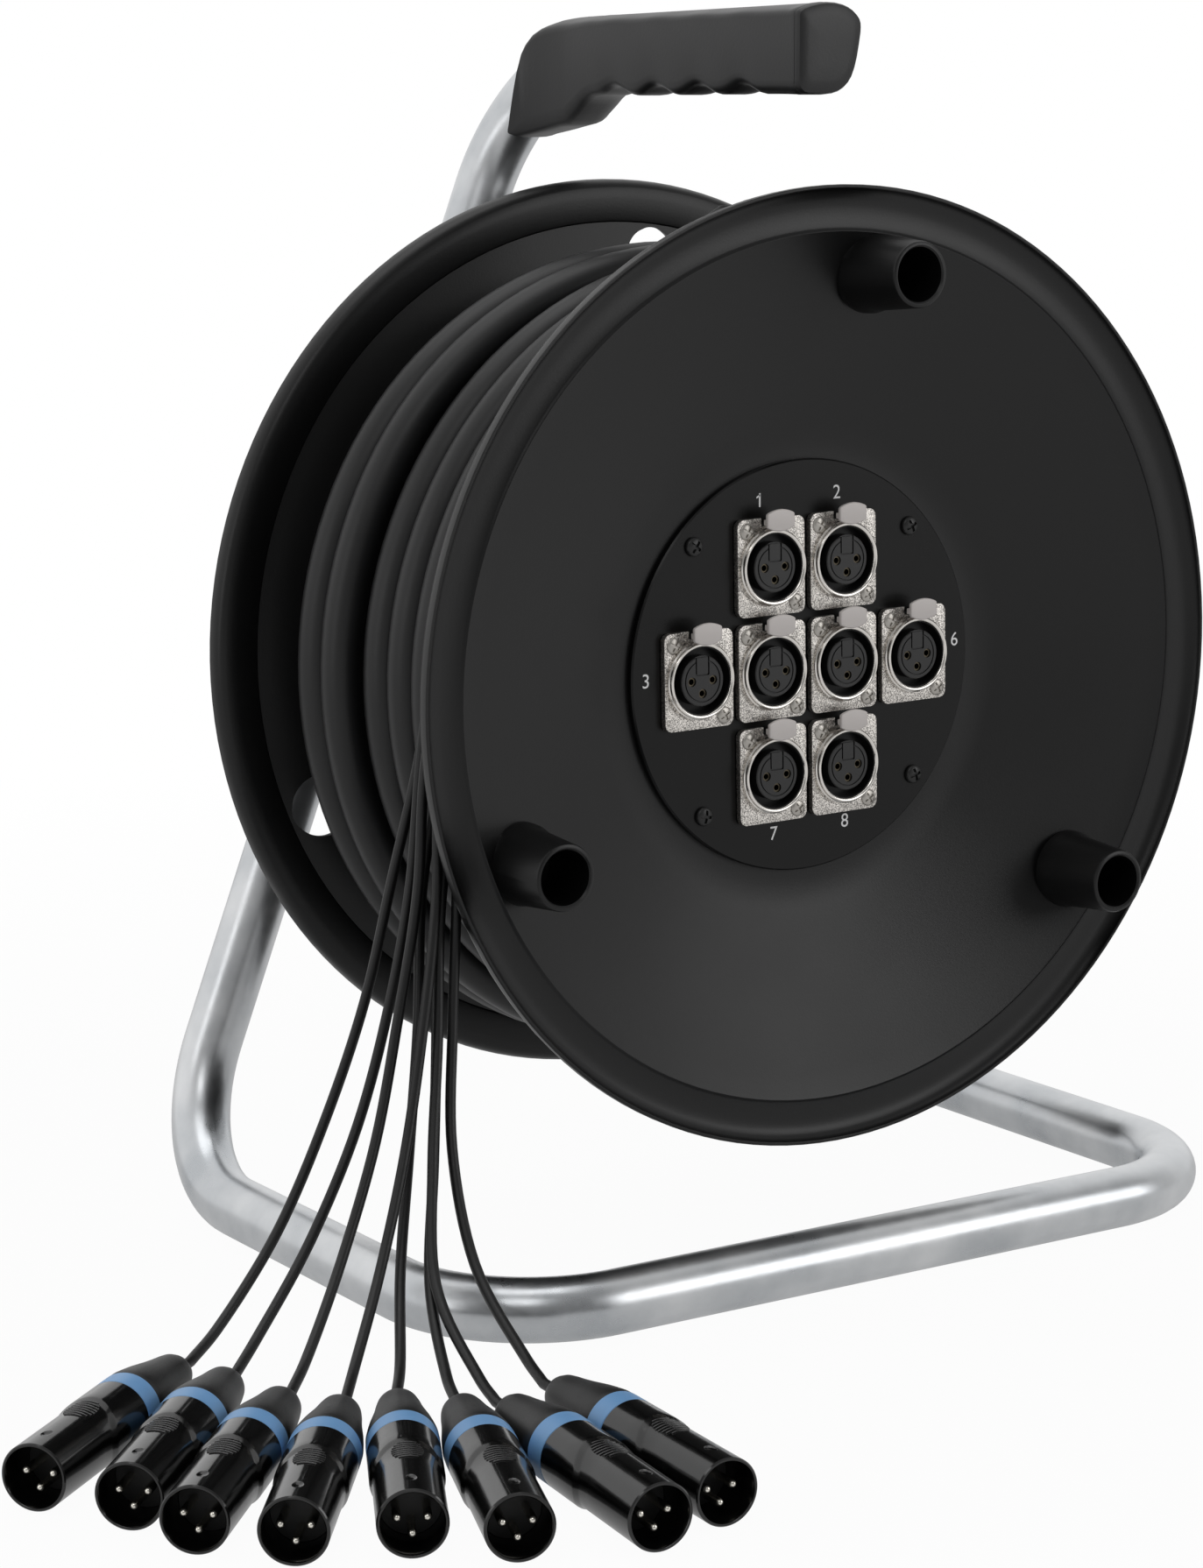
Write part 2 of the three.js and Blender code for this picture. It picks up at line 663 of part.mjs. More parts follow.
function tabGeometry() {
  const pad = rodY(TAB_W / 2, tabRear - TAB_T, tabRear, TAB_SEGMENTS);
  pad.scale(1, 1, TAB_H / TAB_W).translate(0, 0, TAB_RISE);
  const stemLength = stemRear - tabRear + TAB_T / 2;
  const stem = block(STEM_W, stemLength, STEM_H, 0, stemRear - stemLength / 2, stemZ);
  return join(pad, stem);
}

const panelGroup = new THREE.Group();
panelGroup.rotation.y = roll;
panelGroup.position.y = PANEL_Y;
onAxis.add(panelGroup);
const socketShape = socketGeometry();
const tabShape = tabGeometry();
socketPlaces().forEach((place, i) => {
  addPiece("socket_" + (i + 1), socketShape, "nickel", panelGroup).position.copy(place);
  addPiece("push_tab_" + (i + 1), tabShape, "paleMetal", panelGroup).position.copy(place);
});

// Inner layers of the cable, as one plain core
const stepShrink = Math.cos(Math.PI / LOOP_STEPS); // how far a loop's chords cut inside it
const coreLow = WIND_R * stepShrink - CABLE_R - SEAT_GAP;
const coreFoot = coreLow - CORE_FOOT;

function coreLimit(radius) {
  return flangeFace(radius) - FLANGE_WALL - CABLE_CLEAR;
}

const coreRoot = BARREL_R + SEAT_GAP;
addPiece(
  "cable_inner_layers",
  turnedRing(
    [
      [coreRoot, -coreLimit(coreRoot)],
      [coreLow, -coreLimit(coreLow)],
      [coreLow, CORE_TAIL],
      [coreFoot, CORE_TAIL],
      [coreFoot, coreLimit(coreFoot)],
      [coreRoot, coreLimit(coreRoot)],
    ],
    DRUM_SEGMENTS,
  ),
  "cable",
);

// Outer turns of the multicore: one unbroken tube
function windPoint(degrees) {
  const fromSink = Math.min(Math.abs((degrees % 360) - SINK_ANGLE), SINK_HALF) / SINK_HALF;
  const sink = (SINK_SHARE * (1 + Math.cos(Math.PI * fromSink))) / 2;
  const climb = THREE.MathUtils.smoothstep(degrees, CLIMB_START, CLIMB_END) * (1 - sink);
  const sway = WIND_SWAY * (Math.cos(radians(degrees - 180)) - 1);
  const y = -WIND_AHEAD + (WIND_PITCH * (degrees - 180)) / 360 + sway;
  return polar(WIND_R + LAYER_RISE * climb, degrees, y);
}

function windPoints() {
  const steps = Math.round(((WIND_END - WIND_START) * LOOP_STEPS) / 360);
  const points = [];
  for (let i = 0; i <= steps; i += 1) {
    points.push(windPoint(WIND_START + ((WIND_END - WIND_START) * i) / steps));
  }
  const straight = (from, next) => from.clone().add(from.clone().sub(next).setLength(CABLE_R));
  points.unshift(straight(points[0], points[1]));
  points.push(straight(points[points.length - 1], points[points.length - 2]));
  return points;
}

// The least clear distance between turns, measured from point to chord.
function leastGap(points, diameter, skip) {
  let least = Infinity;
  const chord = new THREE.Line3();
  const near = new THREE.Vector3();
  points.forEach((point, i) => {
    for (let j = i + skip; j < points.length - 1; j += 1) {
      chord.set(points[j], points[j + 1]).closestPointToPoint(point, true, near);
      least = Math.min(least, near.distanceTo(point));
    }
  });
  return least - diameter;
}

const winding = windPoints();
const windingGap = leastGap(winding, CABLE_OD, LOOP_STEPS / 2);
console.log("least gap of the winding to itself: " + windingGap.toFixed(2) + " mm");
addPiece(
  "multicore_winding",
  new THREE.ExtrudeGeometry(
    new THREE.Shape(hexagon(CABLE_R)),
    { steps: winding.length - 1, extrudePath: new Route(winding, new THREE.Vector3(0, 1, 0)) },
  ),
  "cable",
);

function hexagon(radius) {
  const points = [];
  for (let i = 0; i < CABLE_SIDES; i += 1) {
    const angle = (i * 2 * Math.PI) / CABLE_SIDES;
    points.push(new THREE.Vector2(radius * Math.cos(angle), radius * Math.sin(angle)));
  }
  return points;
}

// Grip: a moulded cover with finger grooves, a collar in front and a skirt behind
function gripGeometry() {
  const top = GRIP_HALF_H;
  const collar = GRIP_HALF_H + COLLAR_RISE;
  const outline = [
    [0, -collar],
    [0, collar],
    [COLLAR_LENGTH, collar],
    [COLLAR_LENGTH + COLLAR_RISE, top],
    ...gripSideShares.map(([along, high]) => [along * GRIP_LENGTH, high * GRIP_HALF_H]),
    [COLLAR_LENGTH + COLLAR_RISE, -top],
    [COLLAR_LENGTH, -collar],
  ];
  const shape = new THREE.Shape(outline.map(([along, high]) => new THREE.Vector2(along, high)));
  const side = new THREE.ExtrudeGeometry(shape, {
    depth: GRIP_WIDTH - 2 * GRIP_CORNER,
    bevelThickness: GRIP_CORNER,
    bevelSize: GRIP_CORNER,
    bevelOffset: -GRIP_CORNER,
    bevelSegments: 2,
    curveSegments: 1,
  });
  side.translate(0, 0, GRIP_CORNER - GRIP_WIDTH / 2);
  side.rotateX(Math.PI / 2).rotateZ(Math.PI / 2); // along +Y, upright
  side.translate(-HANDLE_LEFT, gripFront, handleRise);
  return side;
}

const gripFront = -GRIP_REACH + CAP_T + SEAT_GAP;
const gripBoreStart = handleEnd.clone().setY(gripFront - CUT_OVERRUN);
const fingers = [];
for (let i = 0; i < FINGER_COUNT; i += 1) {
  const groove = new THREE.CylinderGeometry(FINGER_R, FINGER_R, 2 * GRIP_WIDTH, FINGER_SEGMENTS);
  const along = gripFront + FINGER_FIRST + (i - 1) * FINGER_PITCH;
  groove.rotateZ(Math.PI / 2);
  fingers.push(groove.translate(-HANDLE_LEFT, along, handleRise - GRIP_HALF_H + FINGER_DEPTH - FINGER_R));
}
addPiece(
  "grip",
  cut(
    gripGeometry(),
    tubeAlong(framePath(gripBoreStart, weldPoint), TUBE_R + SEAT_GAP, TUBE_SIDES, UP, frontBarAt),
    ...fingers,
  ),
  "rubber",
);

// End cap of the grip, with a spigot in the tube's bore
const collarHeight = 2 * (GRIP_HALF_H + COLLAR_RISE);
const spigotR = TUBE_R - TUBE_WALL - SEAT_GAP;
const capPlate = roundedPlate(GRIP_WIDTH, collarHeight, GRIP_CORNER, CAP_T, CORNER_STEPS);
const spigot = rodY(spigotR, -CAP_T / 2, SPIGOT_LENGTH, BORE_SIDES);
addPiece("grip_end_cap", join(capPlate, spigot), "rubber").position.set(
  -HANDLE_LEFT,
  CAP_T - GRIP_REACH,
  handleRise,
);

// Routes of the free cords in the frame's coordinates, from the boot down to the floor. Each
// tail's last pair is where it enters its plug.
const TAIL_ROUTES = [
  [
    [-40.4, -51.9, 324.7], [-54.7, -52, 318.1], [-67.5, -51.9, 309.5], [-82.3, -52.2, 297.9],
    [-103.9, -52.2, 276.6], [-123.1, -52.1, 244.7], [-132.7, -52, 208.8], [-136.5, -47.4, 173.6],
    [-144.3, -43.7, 136.6], [-155.9, -46.4, 100.7], [-172.3, -50.3, 67], [-193.7, -58, 36.9],
    [-221.4, -71.3, 15.3], [-240.7, -84.2],
  ],
  [
    [-42, -53.8, 329.6], [-56, -55.4, 321.3], [-69.2, -56.9, 312.4], [-84.4, -58, 300.6],
    [-106.7, -58, 278.8], [-126.4, -57.9, 246.1], [-136.3, -57.8, 209.3], [-140, -54.4, 174.3],
    [-143.6, -53.6, 137], [-153.8, -57.4, 100.9], [-168.4, -62.7, 66.7], [-189.7, -71.1, 36.7],
    [-216.5, -86.3, 15.4], [-233.8, -101.5],
  ],
  [
    [-42.3, -57.4, 330.8], [-56.6, -59.3, 322.5], [-69.7, -60.8, 313], [-84.4, -61.9, 300.6],
    [-106.7, -61.9, 278.9], [-126.4, -62, 246.1], [-136.4, -62, 209.3], [-142.5, -60.9, 172.6],
    [-145.6, -61.2, 135.5], [-155.7, -66.1, 99.2], [-168.9, -74.5, 64.6], [-188.2, -87.3, 34.7],
    [-212.1, -108.1, 14.3], [-228.5, -124.9],
  ],
  [
    [-42.3, -61.3, 330.4], [-56.2, -63.2, 321.9], [-69.4, -64.7, 312.7], [-84.4, -65.8, 300.6],
    [-106.6, -65.8, 278.7], [-126.3, -65.8, 246.1], [-136.1, -66, 209.2], [-141.3, -66.9, 170.1],
    [-143.3, -68.1, 133.4], [-151.5, -73.6, 96.9], [-163.7, -83, 62.3], [-181.4, -97.9, 32.6],
    [-203.8, -121.1, 13.4], [-218.3, -139.8],
  ],
  [
    [-40, -55.6, 323.4], [-53.9, -55.6, 316.6], [-67.1, -55.7, 308.7], [-82.2, -56.1, 297.8],
    [-103.8, -56.1, 276.6], [-123, -56.1, 244.7], [-132.6, -56.1, 208.8], [-134.1, -53.9, 168.9],
    [-139.9, -53.7, 131.3], [-147, -62.9, 94.6], [-158.1, -75.8, 60.2], [-173, -95.4, 30.9],
    [-190.2, -124.1, 12.7], [-202.8, -144.3],
  ],
  [
    [-41.1, -57.6, 326.7], [-55, -58.6, 318.9], [-67.8, -59.4, 309.8], [-82.3, -60, 297.9],
    [-103.9, -60, 276.6], [-123.1, -60, 244.7], [-132.8, -60, 208.8], [-134.2, -59.4, 168.8],
    [-139.2, -61.6, 130.6], [-145, -70.5, 93.5], [-154.3, -83.8, 58.4], [-168, -103.8, 28.5],
    [-181.5, -135.4, 11.7], [-190.4, -157.6],
  ],
  [
    [-40.2, -60.4, 323.9], [-54.1, -61.9, 317], [-67.2, -63.2, 309], [-82.2, -63.9, 297.8],
    [-103.8, -63.9, 276.5], [-122.9, -63.9, 244.6], [-132.5, -63.9, 208.8], [-134.3, -63.9, 167.6],
    [-140.5, -66, 129.7], [-147, -74.6, 92.8], [-157.1, -87.8, 58.3], [-169, -109.1, 29.4],
    [-175, -142.4, 12.2], [-179.7, -165.8],
  ],
  [
    [-40.8, -63.5, 326.3], [-54.9, -65.3, 318.8], [-67.7, -66.9, 309.8], [-82.3, -67.9, 297.9],
    [-103.9, -67.7, 276.6], [-123, -67.8, 244.7], [-132.6, -67.8, 208.8], [-134.4, -68.2, 170.9],
    [-135.9, -67.9, 133.5], [-140.7, -72.9, 96.7], [-148, -84, 61.7], [-153.1, -104.9, 31.9],
    [-156.1, -137, 13.3], [-159.9, -160.4],
  ],
];

// Route of the multicore's free end over the turns: radius, degrees and place along the axis
const CABLE_END_ROUTE = [
  [146.2, 20, 31], [146.2, 26, 28], [146.2, 33, 22], [146.2, 41, 12], [146.2, 49, -1], [146.2, 57, -15],
  [145.6, 64, -28], [145, 70.5, -39],
];

// The free cords lie still while the drum turns inside them. Each starts and ends straight.
function smooth(points, steps) {
  const inner = new THREE.CatmullRomCurve3(points.slice(1, -1)).getSpacedPoints(steps - 2);
  return [points[0], ...inner, points[points.length - 1]];
}

const bootAlong = polar(1, BOOT_ANGLE + 90, 0); // towards the tails
const bootOut = polar(1, BOOT_ANGLE, 0);
const bootMiddle = polar(BOOT_LIFT, BOOT_ANGLE, BOOT_Y);
const bootRear = bootMiddle.clone().addScaledVector(bootAlong, -BOOT_LENGTH / 2 - SEAT_GAP);
const bootFace = bootMiddle.clone().addScaledVector(bootAlong, BOOT_LENGTH / 2 + SEAT_GAP);
const cableEnd = smooth(
  [
    ...CABLE_END_ROUTE.map((place) => polar(...place)),
    bootRear.clone().addScaledVector(bootAlong, -CABLE_OD),
    bootRear,
  ],
  CABLE_END_STEPS,
);
addPiece("multicore_end", tubeAlong(cableEnd, CABLE_R, CORD_SIDES, bootOut), "cable");
addPiece(
  "breakout_boot",
  rodY(BOOT_R, -BOOT_LENGTH / 2, BOOT_LENGTH / 2, BOOT_SEGMENTS, BOOT_END_R)
    .rotateX(Math.PI / 2)
    .rotateY(-radians(BOOT_ANGLE)),
  "rubber",
).position.copy(bootMiddle);

function tailStart(slot) {
  const start = bootFace.clone().add(onAxis.position);
  if (slot < 0) return start;
  const angle = radians(TAIL_RING_TURN + (360 * slot) / (TAIL_SLOTS.length - 1));
  start.addScaledVector(bootOut, TAIL_RING_R * Math.cos(angle));
  start.y += TAIL_RING_R * Math.sin(angle);
  return start;
}

// Plugs: a shell with a cup and three pins, and a boot with a coloured band. Their outlines
// start at the plug's face, and +Y runs back to where the cord enters.
function plugGeometry() {
  const shell = turned(
    [
      [0, PLUG_CUP_DEPTH],
      [PLUG_CUP_R, PLUG_CUP_DEPTH],
      [PLUG_CUP_R, 0],
      [PLUG_FACE_R, 0],
      [PLUG_FACE_R, PLUG_NECK],
      [PLUG_REAR_R, PLUG_NECK + PLUG_SHOULDER],
      [PLUG_REAR_R, PLUG_SHELL],
      [0, PLUG_SHELL],
    ],
    PLUG_SEGMENTS,
  );
  const pinTip = PLUG_CUP_DEPTH - PLUG_PIN_LENGTH;
  return join(shell, ...contactRods(PLUG_PIN_CIRCLE_R, PLUG_PIN_R, pinTip, PLUG_CUP_DEPTH + PLUG_PIN_R));
}

const plugShape = plugGeometry();
const plugBootShape = turned(
  [
    [0, PLUG_SHELL + SEAT_GAP],
    [PLUG_REAR_R, PLUG_SHELL + SEAT_GAP],
    [PLUG_REAR_R, PLUG_SHELL + PLUG_BAND],
    [PLUG_TAIL_R, PLUG_LENGTH],
    [0, PLUG_LENGTH],
  ],
  PLUG_SEGMENTS,
);
TAIL_ROUTES.forEach((route, i) => {
  const heading = polar(1, 0, 0).applyAxisAngle(UP, radians(PLUG_HEADINGS[i]));
  const start = tailStart(TAIL_SLOTS[i]);
  const [x, y] = route[route.length - 1];
  const end = new THREE.Vector3(x, y, PLUG_REAR_R);
  const points = [
    start,
    start.clone().addScaledVector(bootAlong, TAIL_STRAIGHT),
    ...route.slice(0, -1).map((place) => new THREE.Vector3(...place)),
    end.clone().addScaledVector(heading, -TAIL_STRAIGHT),
    end,
  ];
  const number = i + 1;
  const tail = tubeAlong(smooth(points, TAIL_STEPS), TAIL_OD / 2, CORD_SIDES, UP);
  addPiece("tail_cord_" + number, tail, "cable", stageBox);
  const plug = new THREE.Group();
  plug.position.copy(end).addScaledVector(heading, PLUG_LENGTH + SEAT_GAP);
  plug.rotation.z = radians(PLUG_HEADINGS[i] + 90);
  stageBox.add(plug);
  addPiece("plug_" + number, plugShape, "glossBlack", plug);
  addPiece("plug_boot_" + number, plugBootShape, "rubber", plug);
});

export default stageBox;
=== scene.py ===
# Stage box snake: a drum of multicore cable in a bent tube frame. One section for each
# piece, in the order in which it is put together. Sizes are in millimetres times MM.
import math

import bpy
from mathutils import Matrix, Vector


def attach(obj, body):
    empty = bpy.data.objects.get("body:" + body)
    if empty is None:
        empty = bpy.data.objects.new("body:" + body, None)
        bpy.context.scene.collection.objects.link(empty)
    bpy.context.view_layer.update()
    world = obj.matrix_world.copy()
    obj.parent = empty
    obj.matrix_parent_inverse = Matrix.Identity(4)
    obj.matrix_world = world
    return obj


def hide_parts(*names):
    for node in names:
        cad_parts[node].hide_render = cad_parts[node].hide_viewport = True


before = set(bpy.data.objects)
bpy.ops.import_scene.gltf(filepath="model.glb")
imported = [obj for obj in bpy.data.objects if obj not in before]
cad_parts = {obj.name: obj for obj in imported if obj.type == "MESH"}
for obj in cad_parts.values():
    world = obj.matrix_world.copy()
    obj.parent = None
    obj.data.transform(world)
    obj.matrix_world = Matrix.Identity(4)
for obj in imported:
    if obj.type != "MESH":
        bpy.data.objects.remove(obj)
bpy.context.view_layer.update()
MM = 0.001

# Camera: it stands to the left of the drum's axis and a little above it. The place and
# the lens come from the panel's sockets, the flanges' rims and the frame's bars.
CAMERA_PLACE = (-705.1, -1010.7, 364.9)
CAMERA_AZIMUTH, CAMERA_ELEVATION, CAMERA_ROLL = -33.3943, 10.1029, -0.1188
CAMERA_LENS = 85.66

bpy.ops.object.select_all(action="DESELECT")
bpy.ops.object.camera_add(location=[v * MM for v in CAMERA_PLACE])
camera = bpy.context.object
camera.name = "camera"
camera.rotation_euler = (
    Matrix.Rotation(math.radians(CAMERA_AZIMUTH), 3, "Z")
    @ Matrix.Rotation(math.radians(90 - CAMERA_ELEVATION), 3, "X")
    @ Matrix.Rotation(math.radians(CAMERA_ROLL), 3, "Z")
).to_euler()
camera.data.lens = CAMERA_LENS
bpy.context.scene.camera = camera


# Finishes: a Signal is a shader value that adds and multiplies as a number does, and a
# Finish is one material with its nodes.
class Signal:
    def __init__(self, finish, socket):
        self.finish, self.socket = finish, socket

    def math(self, operation, *values):
        return self.finish.node("ShaderNodeMath", {"operation": operation}, dict(enumerate(values)))

    def __add__(self, other):
        return self.math("ADD", self, other)

    def __mul__(self, other):
        return self.math("MULTIPLY", self, other)

    __radd__ = __add__
    __rmul__ = __mul__


class Finish:
    def __init__(self, name, **surface):
        self.material = bpy.data.materials.new(name)
        self.material.use_nodes = True
        self.tree = self.material.node_tree
        self.surface = self.tree.nodes["Principled BSDF"]
        for socket, value in surface.items():
            self.feed(self.surface.inputs[socket.replace("_", " ")], value)

    def node(self, kind, settings, sockets, output=0):
        made = self.tree.nodes.new(kind)
        for name, value in settings.items():
            setattr(made, name, value)
        for place, value in sockets.items():
            self.feed(made.inputs[place], value)
        return Signal(self, made.outputs[output])

    def feed(self, socket, value):
        if isinstance(value, Signal):
            self.tree.links.new(value.socket, socket)
        elif socket.type == "RGBA" and len(value) == 3:
            socket.default_value = (*value, 1)
        else:
            socket.default_value = value

    def place(self, stretch=(1, 1, 1)):
        here = self.node("ShaderNodeTexCoord", {}, {}, output="Object")
        return self.node("ShaderNodeMapping", {}, {"Vector": here, "Scale": stretch})

    def noise(self, size, detail=3, stretch=(1, 1, 1)):
        """Soft noise of the given grain, in metres, from 0 to 1."""
        return self.node(
            "ShaderNodeTexNoise", {}, {"Vector": self.place(stretch), "Scale": 1 / size, "Detail": detail}
        )

    def blend(self, share, first, second):
        mixed = self.node(
            "ShaderNodeMix", {"data_type": "RGBA"}, {0: share, 6: (*first, 1), 7: (*second, 1)}, output=2
        )
        self.feed(self.surface.inputs["Base Color"], mixed)

    def ramp(self, value, low, high):
        return self.node("ShaderNodeMapRange", {}, {0: value, 1: low, 2: high})

    def roughen(self, value):
        self.feed(self.surface.inputs["Roughness"], value)

    def bump(self, height, depth, strength=1.0):
        """Relief of the given depth, in metres, for a height from 0 to 1."""
        raised = self.node("ShaderNodeBump", {}, {"Strength": strength, "Distance": depth, "Height": height})
        self.feed(self.surface.inputs["Normal"], raised)

    def wear(self, piece):
        piece.data.materials.clear()
        piece.data.materials.append(self.material)
        return piece


# Studio: a pale floor that runs out of sight and turns white away from the part, a pale
# surround, and four soft boxes: in front on the right, on the left, above, and high on the left.
FLOOR_SIZE, FLOOR_GREY = 60000, 0.5
FLOOR_GLOW, FADE_START, FADE_END, FLOOR_GLOSS = 0.96, 0.3, 0.9, 0.5
bpy.ops.mesh.primitive_plane_add(size=FLOOR_SIZE * MM)
floor = bpy.context.object
floor.name = "studio_floor"
paper = Finish("studio paper", Base_Color=(FLOOR_GREY, FLOOR_GREY, FLOOR_GREY), Roughness=0.9)
paper.wear(floor)
away = paper.node("ShaderNodeVectorMath", {"operation": "LENGTH"}, {0: paper.place()}, output="Value")
fade = {0: away, 1: FADE_START, 2: FADE_END, 3: FLOOR_GLOW, 4: 1.0}
whitening = paper.node("ShaderNodeMapRange", {}, fade)
glow = paper.node("ShaderNodeEmission", {}, {"Color": (1, 1, 1), "Strength": 1.0})
camera_ray = paper.node("ShaderNodeLightPath", {}, {}, output="Is Camera Ray")
glossy_ray = paper.node("ShaderNodeLightPath", {}, {}, output="Is Glossy Ray")
through_ray = paper.node("ShaderNodeLightPath", {}, {}, output="Is Transmission Ray")
plain = Signal(paper, paper.surface.outputs[0])
lit = camera_ray + through_ray + glossy_ray * FLOOR_GLOSS
seen = paper.node("ShaderNodeMixShader", {}, {0: whitening * lit, 1: plain, 2: glow})
paper.feed(paper.tree.nodes["Material Output"].inputs["Surface"], seen)

# The surround is white to the camera, and behind the part to metal too; for the rest it
# is dim in front, as a studio is, and light behind.
SURROUND_FRONT, SURROUND_BACK, BACKDROP_SHARP = 0.22, 0.9, 3
world = bpy.data.worlds.new("studio surround")
world.use_nodes = True
bpy.context.scene.world = world
surround = world.node_tree


def world_node(kind, operation, *values, output=0):
    """A node of the world's own tree; values are numbers or outputs of other nodes."""
    node = surround.nodes.new(kind)
    if operation:
        node.operation = operation
    for socket, value in zip(node.inputs, values):
        if isinstance(value, bpy.types.NodeSocket):
            surround.links.new(value, socket)
        else:
            socket.default_value = value
    return node.outputs[output]


ray_way = world_node("ShaderNodeTexCoord", None)
heading = world_node("ShaderNodeSeparateXYZ", None, ray_way, output=1)
behind = world_node("ShaderNodeMapRange", None, heading, -1 / BACKDROP_SHARP, 1 / BACKDROP_SHARP, 0, 1)
seen_ray, clear_ray, metal_ray = (
    world_node("ShaderNodeLightPath", None, output=f"Is {kind} Ray")
    for kind in ("Camera", "Transmission", "Glossy")
)
metal = world_node("ShaderNodeMath", "MULTIPLY", metal_ray, behind)
direct = world_node("ShaderNodeMath", "MAXIMUM", seen_ray, clear_ray)
direct = world_node("ShaderNodeMath", "MAXIMUM", direct, metal)
dim = world_node("ShaderNodeMapRange", None, heading, -1, 1, SURROUND_FRONT, SURROUND_BACK)
strength = world_node("ShaderNodeMapRange", None, direct, 0, 1, dim, 1)
surround.links.new(strength, surround.nodes["Background"].inputs["Strength"])
surround.nodes["Background"].inputs["Color"].default_value = (1, 1, 1, 1)

LAMP_AIM = Vector((0, 0, 200))
LAMPS = {  # place, width, height, watts
    "front_right": ((1350, -1850, 900), 1200, 1200, 12),
    "left": ((-2200, -200, 500), 500, 1500, 3.5),
    "above": ((-200, 100, 2300), 1500, 1500, 9),
    "high_left": ((-1300, -1500, 1900), 900, 900, 5),
}
for name, (place, width, height, watts) in LAMPS.items():
    bpy.ops.object.light_add(type="AREA", location=[v * MM for v in place])
    lamp = bpy.context.object
    lamp.name = name + "_lamp"
    lamp.rotation_euler = (LAMP_AIM - Vector(place)).to_track_quat("-Z", "Y").to_euler()
    lamp.data.shape = "RECTANGLE"
    lamp.data.size, lamp.data.size_y = width * MM, height * MM
    lamp.data.energy = watts
bpy.context.scene.view_settings.view_transform = "Standard"


